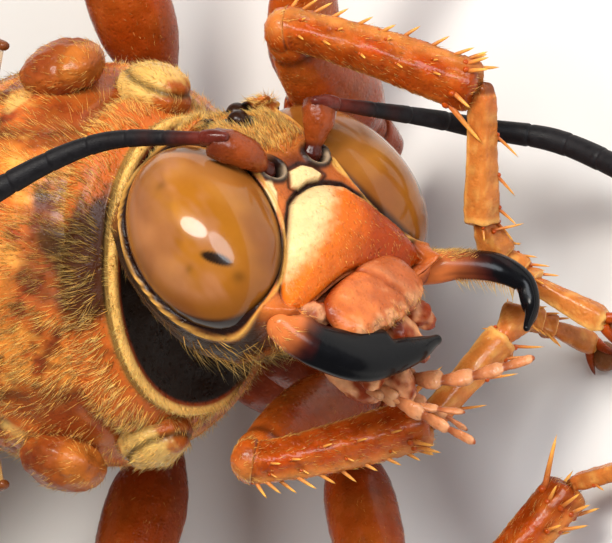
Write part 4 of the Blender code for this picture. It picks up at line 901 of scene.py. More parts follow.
jawSkins, jawRows = {}, {}
for label in ("left", "right"):
    jawSkins[label] = makeMandible(label)
    table = np.array(mandibles[label]["rows"])
    jawRows[label] = np.hstack([onHead(table[:, :3]), table[:, 3:]])
    makePiece("mandible" + label.title(), jawSkins[label], finishes["blade"],
              ("mandible_" + label,))
lip = makeLip()
makePiece("upperLip", lip, finishes["mouth"], ("labrum",))
makePiece("tongueParts", makeTongue(), finishes["mouth"], ("mouthparts",))
print("mouth ready")


# The trunk: one skin from the collar's rear to the waist, the rolled collar and the underside

trunkShape = {"rows": ((-3.0, 2.6, 2.3, -2.7), (-2.5, 3.4, 2.85, -3.4), (-1.2, 4.2, 3.6, -4.05),
                       (0.5, 4.5, 3.9, -4.2), (2.2, 4.25, 3.75, -4.0), (3.4, 3.85, 3.35, -3.55),
                       (4.3, 3.5, 3.05, -3.1), (5.2, 3.1, 2.4, -2.7), (5.9, 2.45, 1.5, -2.35),
                       (6.4, 1.6, 0.7, -1.85)),
              "levels": 245, "sides": 290, "power": 2.2, "start": (0, -3.25, -0.2), "end": (0, 6.75, -0.6),
              "rust": colour(194, 96, 34), "red": colour(160, 66, 24), "black": colour(24, 17, 13),
              "amber": colour(222, 132, 50), "yellow": colour(220, 174, 96), "gold": colour(238, 172, 76)}
collarShape = {"rows": ((-4.35, 0.95, 0.65, -1.15), (-3.95, 1.15, 0.88, -1.35), (-3.66, 1.55, 1.2, -1.6),
                        (-3.52, 2.1, 1.55, -1.9), (-3.48, 2.6, 1.88, -2.05), (-3.50, 2.95, 2.16, -2.15),
                        (-3.52, 3.12, 2.32, -2.22), (-3.42, 3.26, 2.46, -2.30), (-3.24, 3.30, 2.48, -2.34),
                        (-3.08, 3.36, 2.52, -2.38), (-2.85, 3.58, 2.74, -2.46), (-2.5, 3.78, 2.92, -2.56),
                        (-2.2, 3.80, 2.94, -2.58)),
               "levels": 170, "sides": 264, "lobes": ((3.85, -2.3, 0.2), (0.66, 1.0, 0.72)),
               "ridge": colour(244, 190, 104), "paintedShadeAndBlack": colour(24, 14, 8), "olive": colour(104, 76, 34)}


def bodyRings(table, sides, power):
    # rounded oblongs: x = half * c and z = middle + tall * s, with c and s the cosine and sine
    # raised to 2 / power
    angle = np.linspace(0, 2 * math.pi, sides, endpoint=False)
    bent = lambda value: np.sign(value) * np.abs(value) ** (2 / power)
    y, half, top, bottom = (column[:, None] for column in table.T)
    middle, tall = 0.5 * (top + bottom), 0.5 * (top - bottom)
    x = half * bent(np.cos(angle))
    return np.stack([x, y + 0 * x, middle + tall * bent(np.sin(angle))], -1)


def sidePlate(points):
    # the smooth, darker red plate on each side of the back, behind the collar
    x, y, z = points.T
    return softStep(z, -0.6, 0.3) * hump((np.abs(x) - 3.4) / 0.8, 1.0) * softStep(-0.5 - y, -0.2, 0.8)


def backShade(points):
    # the dark cloud on the front of the back, which the collar and the trunk share
    x, y, _ = points.T
    return (softStep(2.1 + 0.6 * waves(points, 0.9, 45) - np.abs(x), 0, 1.2)
            * softStep(-1.3 - y + 0.7 * waves(points, 2.4, 44), -0.3, 0.9))


def makeTrunk():
    look = trunkShape
    table = smoothRows(look["rows"], look["levels"])
    skin = closedGrid(bodyRings(table, look["sides"], look["power"]), look["start"], look["end"])
    p = skin["points"]
    x, y, z = p.T
    upper = softStep(z, 0.8, 1.8)
    side = softStep(np.abs(x), 2.6, 3.4) * softStep(2.2 - z, 0, 0.6)
    height = 0.03 * waves(p, 1.6, 41) + 0.012 * waves(p, 0.5, 42)
    # the rear shield of the back, between two grooves
    line = 2.42 + 0.03 * x ** 2
    height -= upper * 0.20 * hump(y - line, 0.11)
    shield = hump((y - 3.32) / 0.78, 1.0) * softStep(2.35 - np.abs(x), 0, 0.8)
    height += 0.50 * shield * softStep(z, 1.9, 2.7)
    for at, depth in ((4.16, 0.13), (4.62, 0.12)):
        height -= upper * depth * hump(y - at - 0.02 * x ** 2, 0.07)
    # long lines of the back: the middle line and two pairs beside it
    front = upper * softStep(y, -2.7, -2.2) * softStep(1.9 - y, 0, 0.8)
    height -= front * 0.05 * hump(x, 0.05) * softStep(0.2 - y, 0, 0.8)
    for at in (1.05, 2.15):
        height -= front * 0.05 * hump(np.abs(x) - at - 0.10 * (y + 1.0), 0.05) * softStep(y, -1.6, -0.9)
    # grooves of the flanks, from the wing roots down to the legs
    for a, b in (((0.75, 2.1), (1.0, -3.7)), ((-1.9, 0.9), (-1.0, -3.6)), ((3.7, 2.2), (3.0, -3.2))):
        along = np.clip((z - a[1]) / (b[1] - a[1]), 0, 1)
        middle = a[0] + (b[0] - a[0]) * along + 0.25 * np.sin(math.pi * along)
        height -= side * 0.14 * hump(y - middle, 0.09)
    height += side * 0.10 * hump((y + 0.5) / 0.9, 1.0) * hump((z + 0.8) / 1.6, 1.0)
    # the rear: a shallow middle hollow and cross wrinkles
    rear = softStep(y, 4.7, 5.1)
    height -= rear * 0.16 * hump(x, 0.55) * softStep(z, -0.4, 0.5)
    height += rear * 0.03 * np.sin(9 * y + 3 * np.abs(x) + 2 * waves(p, 1.5, 43))
    raised(skin, height)
    cloud, small = waves(p, 2.4, 44), waves(p, 0.9, 45)
    tint = mix(look["rust"], look["amber"], softStep(cloud, -0.5, 0.6))
    tint = mix(tint, look["red"], softStep(small, 0.1, 0.8))
    streak = waves(p * (1.0, 0.22, 1.0), 0.55, 46)
    black = upper * backShade(p)
    black = np.maximum(black, 0.7 * upper * softStep(streak + 0.3 * small, 0.12, 0.65)
                       * softStep(2.0 - y, 0, 0.8))
    black = np.maximum(black, 0.8 * upper * hump(np.abs(x) - 2.9, 0.20) * softStep(1.2 - y, 0, 0.6))
    tint = mix(tint, look["black"], 0.9 * black)
    tint = mix(tint, look["gold"], 0.5 * upper * softStep(-streak, 0.3, 0.9) * softStep(2.2 - y, 0, 0.6))
    tint = mix(tint, mix(look["red"] * 0.65, look["rust"] * 0.6, softStep(small, -0.3, 0.6)),
               0.9 * sidePlate(p))
    tint = mix(tint, look["black"], 0.8 * upper * hump(y - line, 0.16))
    tint = mix(tint, look["yellow"], 0.85 * softStep(z, 2.9, 3.3)
               * hump((y - 3.75 - 0.06 * x ** 2) / 0.28, 1.0))
    away = np.linalg.norm(np.stack([np.abs(x) - 3.5, 1.3 * y, z - 2.1], 1), axis=1)
    tint = mix(tint, look["yellow"], 0.85 * softStep(0.52 + 0.12 * small - away, 0, 0.18))
    tint = mix(tint, look["black"], 0.75 * softStep(-z, 2.6, 3.6))
    tint = mix(tint, look["black"], 0.55 * rear * hump(x, 0.9))
    skin["tint"] = tint
    return skin


def makeCollar():
    look = collarShape
    table = smoothRows(look["rows"], look["levels"])
    skin = closedGrid(bodyRings(table, look["sides"], 2.15))
    p = skin["points"]
    z = p[:, 2]
    row = skin["unwrap"][:, 1] * (len(look["rows"]) - 1)
    crest = softStep(z, -1.6, -0.6)
    height = crest * 0.11 * hump(row - 6.6, 0.55) + 0.012 * waves(p, 0.6, 51)
    height -= crest * 0.05 * hump(row - 8.6, 0.5)
    raised(skin, height)
    # the collar starts near-black, which is painted shade on its front face and underside; the pale gold
    # band on the crest is partly the ridge's own gold and partly a painted highlight
    tint = mix(look["paintedShadeAndBlack"], trunkShape["red"] * 0.7, crest * softStep(row, 5.2, 5.8))
    tint = mix(tint, look["ridge"], crest * softStep(row, 5.8, 6.3))
    tint = mix(tint, look["olive"], 0.85 * crest * softStep(row, 6.8, 7.2))
    tint = mix(tint, trunkShape["rust"], softStep(row, 8.2, 9.0))
    tint = mix(tint, look["paintedShadeAndBlack"] * 1.2, 0.9 * softStep(row, 7.4, 8.2) * backShade(p) * crest)
    tint = mix(tint, look["olive"], 0.8 * softStep(-z, 0.9, 1.8) * softStep(row, 2.0, 4.0))
    skin["tint"] = tint
    parts = [skin]
    for side in (1, -1):
        centre, radii = look["lobes"]
        lobe = ball(np.array(centre) * (side, 1, 1), np.array(radii), turned("z", -14 * side), 50, 70)
        out, along = lobe["local"][:, 0] * side, lobe["local"][:, 1]
        fold = hump(out - 0.42 - 0.25 * along, 0.13)
        raised(lobe, 0.05 * waves(lobe["points"], 1.2, 52) - 0.10 * hump(along - 0.45, 0.10) - 0.07 * fold)
        tint = mix(trunkShape["yellow"] * 0.9, look["ridge"] * 0.7,
                   softStep(waves(lobe["points"], 0.8, 53), 0, 0.8))
        tint = mix(tint, trunkShape["rust"] * 0.7,
                   softStep(np.abs(along) + 0.2 * waves(lobe["points"], 0.5, 59), 0.6, 0.9))
        lobe["tint"] = mix(tint, look["olive"] * 0.5, 0.85 * fold)
        parts.append(lobe)
    return joined(parts)


def makeUnderside():
    chest = ball(np.array((0, -3.55, -2.2)), np.array((2.0, 1.55, 1.75)), np.eye(3), 60, 80)
    height = 0.04 * waves(chest["points"], 0.9, 54) - 0.12 * hump(chest["points"][:, 0], 0.10)
    raised(chest, height)
    chest["tint"] = mix(collarShape["olive"], collarShape["paintedShadeAndBlack"],
                        0.5 + 0.5 * waves(chest["points"], 1.1, 55))
    neck = tube(((0.0, -3.7, -0.30, 0.75, 0.75), (-0.1, -4.7, -0.05, 0.66, 0.66),
                 (*onHead((0, 0.95, -0.3)), 0.75, 0.75), (*onHead((0, 0.55, -0.3)), 0.8, 0.8)), (1, 0, 0),
                50, 40)
    raised(neck, 0.02 * np.sin(neck["share"] * 60) + 0.02 * waves(neck["points"], 0.4, 56))
    # the neck between head and collar is near-black all over: painted shade
    neck["tint"] = np.tile(collarShape["paintedShadeAndBlack"], (len(neck["points"]), 1))
    return chest, neck


def makeCover(side):
    # the small scale over a wing's root
    cover = ball(np.array((4.38 * side, -0.7, 1.5)), np.array((0.62, 1.15, 0.85)),
                 turned("z", 6 * side) @ turned("y", -25 * side), 50, 60)
    raised(cover, 0.035 * waves(cover["points"], 0.6, 57) - 0.05 * hump(cover["local"][:, 1] + 0.5, 0.07))
    tint = mix(trunkShape["rust"] * 0.6, trunkShape["red"] * 0.5,
               0.5 + 0.5 * waves(cover["points"], 0.9, 58))
    cover["tint"] = mix(tint, trunkShape["amber"] * 0.8, 0.5 * hump(cover["local"][:, 1] + 0.75, 0.25))
    return cover


trunk = makeTrunk()
makePiece("trunkSkin", trunk, finishes["thorax"], ("thorax", "scutellum", "propodeum"))
collar = makeCollar()
makePiece("collar", collar, finishes["head"], ("pronotum",))
chest, neck = makeUnderside()
makePiece("chest", chest, finishes["dark"], ("propleura",))
makePiece("neckSkin", neck, finishes["dark"], ("neck",))
covers = {"left": makeCover(1), "right": makeCover(-1)}
for label, cover in covers.items():
    makePiece("wingScale" + label.title(), cover, finishes["thorax"], ("tegula_" + label,))
print("trunk ready")


# Legs: each is one piece of hip, thigh, shin and five-jointed foot, with spines, claws and pads

def footPath(start, end, sag):
    # a foot's joints on a sagging curve: (1 - t)^2 start + 2 t (1 - t) middle + t^2 end
    start, end = np.array(start), np.array(end)
    middle = mix(start, end, 0.45) - (0, 0, sag)
    return [(1 - t) ** 2 * start + 2 * t * (1 - t) * middle + t ** 2 * end
            for t in (0.0, 0.40, 0.56, 0.68, 0.77, 1.0)]


standing = bodyFrame["floor"] + 0.42   # the last joint's height over the floor
legs = {
    "fore_left": {"side": 1, "coxa": (1.6, -3.1, -3.1), "hip": (2.7, -4.1, -5.0), "knee": (5.1, -6.7, 0.25),
                  "ankle": (3.8, -9.8, -2.67), "stands": False, "rake": (0, -0.67, -0.74),
                  "foot": [(3.75, -9.85, -2.7), (0.93, -9.25, -3.25), (0.28, -9.13, -3.86),
                           (-0.15, -9.36, -4.27), (-0.39, -9.62, -4.41), (-1.24, -11.04, -5.24)]},
    "fore_right": {"side": -1, "coxa": (-1.6, -3.1, -3.1), "hip": (-2.7, -4.1, -5.0),
                   "knee": (-4.25, -6.1, 0.7), "ankle": (-3.38, -8.33, -2.53), "stands": True,
                   "rake": (-0.7, -0.5, -0.5),
                   "foot": [(-3.36, -8.36, -2.56), (-1.59, -9.05, -4.07), (-1.07, -9.0, -4.65),
                            (-1.2, -9.05, -5.1), (-1.35, -9.1, -5.45), (-1.75, -9.3, standing)]},
    "mid_left": {"side": 1, "coxa": (1.9, -0.4, -3.9), "hip": (3.2, -1.3, -5.2), "knee": (7.8, -4.2, -2.5),
                 "ankle": (9.8, -7.4, -5.9), "stands": True,
                 "foot": footPath((9.8, -7.4, -5.9), (12.6, -13.0, standing), 0.25)},
    "mid_right": {"side": -1, "coxa": (-1.9, -0.6, -3.9), "hip": (-3.0, -2.2, -5.3),
                  "knee": (-8.9, -7.1, -2.8), "ankle": (-4.8, -9.3, -6.0), "stands": True,
                  "foot": footPath((-4.8, -9.3, -6.0), (-3.4, -15.3, standing), 0.2)},
    "hind_left": {"side": 1, "coxa": (1.8, 2.3, -3.5), "hip": (2.9, 3.1, -5.2), "knee": (9.6, 2.9, -1.8),
                  "ankle": (11.6, 10.6, -5.5), "stands": True,
                  "foot": footPath((11.6, 10.6, -5.5), (12.6, 19.0, standing), 0.35)},
    "hind_right": {"side": -1, "coxa": (-1.8, 2.3, -3.5), "hip": (-2.9, 3.1, -5.2),
                   "knee": (-9.4, 2.3, -2.1), "ankle": (-12.0, 9.6, -5.5), "stands": True,
                   "foot": footPath((-12.0, 9.6, -5.5), (-13.6, 17.8, standing), 0.35)}}
legLook = {"thigh": {"fore": (0.50, 1.00, 0.45), "mid": (0.48, 0.92, 0.52), "hind": (0.48, 0.98, 0.60)},
           "shin": {"fore": (0.43, 0.56), "mid": (0.36, 0.52), "hind": (0.40, 0.66)},
           "foot": {"fore": 0.36, "mid": 0.26, "hind": 0.28},
           "orange": colour(170, 66, 8), "deep": colour(112, 34, 4), "light": colour(176, 90, 30),
           "knee": colour(60, 22, 10), "spine": colour(168, 76, 34), "spineTip": colour(250, 178, 80),
           "claw": colour(70, 30, 18), "pad": colour(120, 72, 40), "edge": colour(232, 178, 96)}
# rows of spines: how many, where along the piece they start and end, how far round from its
# outer side in degrees, their length, radius and lean towards the foot
shinSpines = {
    "fore": ((9, 0.16, 0.90, -5, 0.52, 0.07, 0.75), (4, 0.30, 0.84, 30, 0.22, 0.04, 0.7),
             (5, 0.30, 0.86, 75, 0.36, 0.05, 0.6), (6, 0.93, 0.97, -20, 0.55, 0.075, 1.1),
             (1, 0.95, 0.95, -75, 0.80, 0.09, 1.3), (1, 0.95, 0.95, 150, 1.05, 0.10, 1.6),
             (1, 0.95, 0.95, 100, 0.70, 0.08, 1.3)),
    "mid": ((8, 0.16, 0.90, 0, 0.62, 0.075, 0.8), (7, 0.20, 0.88, 35, 0.50, 0.065, 0.8),
            (4, 0.30, 0.88, -60, 0.50, 0.065, 0.8), (2, 0.95, 0.96, 180, 1.10, 0.10, 1.6),
            (4, 0.95, 0.97, 30, 0.55, 0.075, 1.2)),
    "hind": ((12, 0.12, 0.92, 15, 0.62, 0.08, 0.8), (10, 0.16, 0.90, 45, 0.50, 0.07, 0.8),
             (5, 0.30, 0.85, -50, 0.55, 0.07, 0.8), (1, 0.95, 0.95, 150, 1.60, 0.11, 2.2),
             (1, 0.95, 0.95, 210, 1.25, 0.11, 2.2), (4, 0.95, 0.97, 20, 0.60, 0.08, 1.2))}
footSpines = {
    "fore": ((5, 0.03, 0.17, 0, 0.62, 0.055, 0.9), (6, 0.30, 0.78, 0, 0.42, 0.05, 1.1),
             (5, 0.18, 0.78, 180, 0.32, 0.045, 1.3), (5, 0.16, 0.78, 90, 0.36, 0.045, 1.3)),
    "mid": ((9, 0.03, 0.78, 0, 0.42, 0.05, 1.1), (6, 0.14, 0.78, 180, 0.36, 0.045, 1.3),
            (5, 0.18, 0.78, 90, 0.34, 0.045, 1.3)),
    "hind": ((10, 0.03, 0.78, 0, 0.45, 0.05, 1.1), (7, 0.12, 0.78, 180, 0.38, 0.045, 1.3),
             (5, 0.18, 0.78, 90, 0.36, 0.045, 1.3))}


def spineRow(rows, outward, look, side, draw, samples):
    # spines on small sockets: aim = outward + lean * along, their roots spread a little
    count, first, last, degrees, length, radius, lean = look
    share = np.linspace(first, last, count) + draw.uniform(-0.008, 0.008, count)
    if first < 0.92:
        fan = draw.uniform(-9, 9, count)
    else:
        fan = np.linspace(-55, 55, count) if count > 1 else np.zeros(1)
    roots, out, along = alongTube(rows, outward, share, degrees * side + fan, samples)
    aims = unit(out + along * (lean + draw.uniform(-0.15, 0.15, (count, 1))))
    sizes = length * draw.uniform(0.8, 1.15, count)
    low = roots[:, 2] + (aims[:, 2] + 0.15) * sizes < bodyFrame["floor"] + 0.05
    aims[low, 2] = np.abs(aims[low, 2]) * 0.3
    made = spikes(roots - out * 0.06, aims, sizes, np.full(count, radius * 0.78), along * 0.10,
                  legLook["spine"], legLook["spineTip"], sides=8, rings=6, power=0.42)
    knobs = []
    for root in roots:
        knob = ball(root, np.full(3, radius * 1.05), rows=5, sides=8)
        knob["tint"] = np.tile(legLook["orange"], (len(knob["points"]), 1))
        knobs.append(knob)
    return [made] + knobs


def makeLegSkin(name):
    leg = legs[name]
    kind, side = name.split("_")[0], leg["side"]
    draw = np.random.default_rng([bodyFrame["seed"], len(name), int(leg["knee"][0] * 10) % 997])
    hip, knee, ankle = (np.array(leg[key]) for key in ("hip", "knee", "ankle"))
    coxa = np.array(leg["coxa"])
    first = tube([(*coxa, 1.02, 0.98), (*mix(coxa, hip, 0.45), 1.08, 1.0),
                  (*mix(coxa, hip, 0.86), 0.62, 0.6)], (side, 0, 0), 40, 44, (0.6, 0.8))
    first["tint"] = mix(trunkShape["red"], legLook["deep"], 0.5 + 0.5 * waves(first["points"], 1.2, 61))
    raised(first, 0.03 * waves(first["points"], 0.9, 62) - 0.05 * hump(first["share"] - 0.72, 0.04))
    small, broad, end = legLook["thigh"][kind]
    rows = [(*hip, small, small), (*mix(hip, knee, 0.10), small * 1.05, small),
            (*mix(hip, knee, 0.17), small * 0.92, small * 0.88),
            (*mix(hip, knee, 0.40), broad, broad * 0.85),
            (*mix(hip, knee, 0.72), broad * 0.85, broad * 0.72), (*knee, end, end * 0.9)]
    thigh = tube(rows, (side, -0.5, 0.3), 84, 44, (0.9, 0.9))
    share = thigh["share"]
    height = 0.012 * waves(thigh["points"], 0.6, 63) - 0.07 * hump(share - 0.30, 0.02)
    height += 0.04 * hump(share - 0.965, 0.02) - 0.03 * hump(share - 0.93, 0.015)
    raised(thigh, height)
    tint = mix(legLook["orange"], legLook["light"], 0.45 + 0.45 * waves(thigh["points"], 1.8, 64))
    tint = mix(tint, legLook["deep"], 0.75 * softStep(0.86 - share, 0, 0.35))
    thigh["tint"] = mix(tint, legLook["knee"],
                        0.7 * hump(share - 0.93, 0.016) + 0.5 * hump(share - 0.30, 0.015))
    out = np.array((side, 0, 0.5))
    bow = unit(out - unit(ankle - knee) * (out @ unit(ankle - knee)))
    slim, wide = legLook["shin"][kind]
    shinRows = [(*knee, slim * 1.16, slim * 1.14), (*(mix(knee, ankle, 0.10) + bow * 0.10), slim, slim),
                (*(mix(knee, ankle, 0.5) + bow * 0.12), slim * 0.45 + wide * 0.55, slim * 0.6 + wide * 0.4),
                (*mix(knee, ankle, 0.94), wide, wide * 0.85)]
    shin = tube(shinRows, out, 100, 50, (0.9, 0.45))
    share, turn = shin["share"], shin["turn"]
    height = 0.010 * waves(shin["points"], 0.45, 65)
    height += 0.022 * softStep(waves(shin["points"], 0.16, 70, 2), 0.2, 0.9)
    height += 0.045 * hump(np.sin(turn), 0.30) * (np.cos(turn) > 0) * softStep(share, 0.06, 0.2)
    height += 0.025 * np.cos(5 * turn) * softStep(share, 0.1, 0.3)
    height -= 0.03 * hump(share - 0.07, 0.025)
    face = (turn * side) % (2 * math.pi)
    height += 0.03 * hump(face - 2.7, 0.10) * softStep(share, 0.1, 0.2)
    raised(shin, height)
    tint = mix(legLook["orange"], legLook["light"], 0.35 + 0.5 * waves(shin["points"], 0.9, 66))
    tint = mix(tint, legLook["deep"], 0.5 * softStep(waves(shin["points"], 0.5, 69), 0.0, 0.7))
    # a dark band along one face of each shin is painted shade, and the pale lines along two faces are
    # partly the shin's own pale ridge and partly painted highlight
    tint = mix(tint, legLook["deep"], 0.55 * hump(face - 2.0, 0.4) * softStep(share, 0.06, 0.2))
    tint = mix(tint, legLook["edge"], 0.25 * hump(face - 0.2, 0.3) + 0.7 * hump(face - 2.7, 0.10))
    tint = mix(tint, legLook["edge"], 0.55 * hump(share - 0.045, 0.04) * hump(face - 0.8, 0.7))
    shin["tint"] = mix(tint, legLook["knee"], 0.7 * hump(share - 0.06, 0.02) * hump(face - 2.2, 0.6)
                       + 0.3 * hump(share - 0.99, 0.02))
    parts = [first, thigh, shin]
    for look in shinSpines[kind]:
        parts += spineRow(shinRows, out, look, side, draw, 110)
    joints = [np.array(point, float) for point in leg["foot"]]
    rake = np.array(leg.get("rake", (side, 0, 0.5)), float)
    footRows = []
    for number, (a, b) in enumerate(zip(joints[:-1], joints[1:])):
        size = legLook["foot"][kind] * (1.0, 0.92, 0.86, 0.84, 0.90)[number]
        last = number == 4
        widths = ((0.62, 0.80, 0.86, 1.00, 0.98) if number == 0 else (0.50, 0.60, 0.80, 0.95, 0.72) if last
                  else (0.48, 0.62, 0.92, 1.14, 1.10))
        piece = tube([(*mix(a, b, at), size * width, size * width * 0.86)
                      for at, width in zip((-0.02, 0.10, 0.5, 0.86, 0.99), widths)], rake, 30, 30,
                     (0.8, 0.2))
        keel = hump(piece["turn"] - math.pi, 0.22)
        raised(piece, 0.02 * np.cos(4 * piece["turn"]) + 0.012 * waves(piece["points"], 0.3, 67)
               + 0.03 * keel)
        tint = mix(legLook["orange"], legLook["light"], softStep(piece["share"], 0.0, 0.6))
        tint = mix(tint, legLook["edge"], 0.14 + 0.3 * softStep(waves(piece["points"], 0.4, 68), 0, 0.8))
        tint = mix(tint, legLook["edge"] * 1.1, 0.7 * keel)
        tint = mix(tint, legLook["edge"], 0.5 * softStep(piece["share"], 0.85, 0.97))
        piece["tint"] = mix(tint, legLook["knee"], 0.6 * softStep(0.12 - piece["share"], 0, 0.1))
        parts.append(piece)
        for share, swell in ((0.0 if number == 0 else 0.10, 0.78), (0.92, 1.02)):
            footRows.append((*mix(a, b, share), size * swell, size * swell * 0.9))
    for look in footSpines[kind]:
        parts += spineRow(footRows, rake, look, side, draw, 60)
    parts += footEnd(leg, joints)
    keys = ("points", "quads", "tris", "tint", "unwrap")
    return joined([{key: part[key] for key in keys} for part in parts]), (thigh, shin)


def footEnd(leg, joints):
    # two bent claws and the pad between them, its sole flat on the floor where the foot stands
    tip, before = joints[-1], joints[-2]
    stands = leg["stands"]
    heading = unit((tip - before) * (1, 1, 0 if stands else 1))
    across = unit(np.cross(heading, (0, 0, 1)))
    down = np.array((0.0, 0, -1)) if stands else np.cross(across, heading)
    down = down if down[2] < 0 else -down
    roots = np.array([tip + across * 0.10 * sign for sign in (1, -1)])
    aims = np.array([heading + across * 0.62 * sign + down * -0.1 for sign in (1, -1)])
    claws = spikes(roots, aims, np.full(2, 0.72), np.full(2, 0.13),
                   np.tile(down * 0.42 - heading * 0.10, (2, 1)),
                   legLook["orange"], legLook["claw"], sides=12, rings=12, power=0.6)
    axes = np.stack([heading, across, np.cross(heading, across)], 1)
    cushions = [(down * 0.22, (0.34, 0.34, 0.22))]
    if stands:
        cushions.append(((0, 0, -0.26), (0.33, 0.28, 0.24)))
    parts = [claws]
    for drop, radii in cushions:
        pad = ball(tip + heading * 0.30 + drop, np.array(radii), axes, 20, 30)
        pad["points"][:, 2] = np.maximum(pad["points"][:, 2], bodyFrame["floor"])
        pad["tint"] = np.tile(legLook["pad"], (len(pad["points"]), 1))
        parts.append(pad)
    return parts


legSkins = {}
for name in legs:
    whole, legSkins[name] = makeLegSkin(name)
    title = name.replace("_", " ").title().replace(" ", "")
    makePiece("leg" + title, whole, finishes["leg"],
              tuple(part + "_" + name for part in ("coxa", "femur", "tibia", "tarsus")))
print("legs ready")


# The abdomen: one skin whose rings overlap, black and red-brown with broken yellow bands

ringShape = {
    # yellow bands: ring, first share and its wave, last share and its growth outward, its softness,
    # and the two distances from the middle line between which the band begins
    "bands": ((2, 0.16, 1, 0.60, -0.10, (-0.05, 0.04), 0.75, 1.0),
              (3, 0.18, 1, 0.46, 0.05, (-0.05, 0.04), 0.55, 0.8),
              (1, 0.42, 0, 0.66, 0, (0, 0.05), 1.2, 1.5),
              (4, 0.30, 1, 0.46, 0, (0, 0.05), 1.6, 2.1)),
    # each ring's ends along the body, half widths and middle heights there
    "rows": ((6.2, 11.0, 0.75, 4.1, -0.7, -1.0), (11.0, 15.3, 4.2, 5.0, -1.0, -1.15),
             (15.3, 19.2, 4.95, 4.75, -1.15, -1.3), (19.2, 22.6, 4.6, 4.0, -1.3, -1.55),
             (22.6, 25.6, 3.85, 2.8, -1.55, -1.95), (25.6, 28.6, 2.6, 0.5, -1.95, -2.6)),
    "perRing": 44, "sides": 180, "lip": 0.16, "power": 2.1,
    "red": colour(132, 54, 24), "brown": colour(58, 24, 14), "black": colour(20, 14, 12),
    "yellow": colour(232, 196, 96), "belly": colour(96, 44, 22)}


def makeAbdomen():
    table, ring, place = [], [], []
    for number, (start, end, front, rear, frontZ, rearZ) in enumerate(ringShape["rows"], 1):
        share = np.sin(np.linspace(0, math.pi / 2, ringShape["perRing"]))
        swell = 0.22 * np.sin(math.pi * share ** 0.8)
        if number == 1:
            swell = -0.35 * np.sin(2 * math.pi * share)
        if number == 6:
            swell = 0.55 * np.sin(math.pi * share)
        half = front + (rear - front) * share + swell
        if number > 1:
            half -= ringShape["lip"] * (1 - softStep(share, 0.0, 0.10))
        middle = frontZ + (rearZ - frontZ) * share
        lap = 0.0 if number == 6 else 0.10 * share ** 6
        table.append(np.stack([start + (end - start) * share + lap, half, middle + half * 0.70,
                               middle - half * 0.80], 1))
        ring.append(np.full(len(share), number))
        place.append(share)
    table, ring, place = np.concatenate(table), np.concatenate(ring), np.concatenate(place)
    sides = ringShape["sides"]
    spread = lambda values: np.repeat(values[:, None], sides, 1)
    skin = closedGrid(bodyRings(table, sides, ringShape["power"]), (0, 6.1, -0.7), (0, 28.85, -2.62),
                      ring=spread(ring), share=spread(place))
    p = skin["points"]
    x, y, z = p.T
    ring, share = skin["ring"], skin["share"]
    angle = np.arctan2(z + 1.2, np.abs(x))
    height = 0.02 * waves(p, 2.0, 71)
    height -= 0.10 * hump(angle + 0.42, 0.035) * (ring < 6) * softStep(y, 8.5, 10.0)
    height -= 0.03 * hump(share - 0.86, 0.03) * (ring < 6)
    raised(skin, height)
    top = softStep(angle, -0.45, -0.30)
    cloud = waves(p, 1.8, 72)
    tint = mix(ringShape["brown"], ringShape["black"], softStep(cloud, -0.4, 0.5))
    tint = mix(tint, ringShape["red"], (ring == 1) * softStep(0.78 - share + 0.08 * cloud, 0, 0.12))
    tint = mix(tint, ringShape["red"], 0.8 * softStep(ring, 4.4, 4.6) * softStep(share, 0.2, 0.7))
    tint = mix(tint, ringShape["belly"], (1 - top) * 0.9)
    away = np.abs(x)
    wavy = 0.10 * cloud
    bands = 0
    for number, low, lowWave, high, outward, soft, inner, outer in ringShape["bands"]:
        first = softStep(share - low + lowWave * wavy, 0, 0.05)
        last = softStep(high + outward * away + wavy - share, *soft)
        bands = bands + (ring == number) * first * last * softStep(away, inner, outer)
    tint = mix(tint, ringShape["yellow"], np.clip(bands, 0, 1) * top)
    tint = mix(tint, ringShape["brown"], 0.7 * softStep(share, 0.88, 0.95) * (ring < 6))
    skin["tint"] = tint
    return skin


abdomen = makeAbdomen()
makePiece("abdomenSkin", abdomen, finishes["abdomen"],
          tuple("abdomen_%d" % number for number in range(1, 7)))
print("abdomen ready")


# Wings: a thin amber membrane between tapered veins

wingShape = {"spread": 16.0, "membrane": 0.030, "drop": 0.60,
             "fore": {"root": (4.9, 0.75, 2.0), "length": 28.8, "width": 8.2, "belly": 0.66},
             "hind": {"root": (4.6, 2.1, 1.3), "length": 19.5, "width": 6.3, "belly": 0.60},
             "amber": colour(206, 150, 66), "smoke": colour(120, 78, 40), "vein": colour(112, 58, 24)}
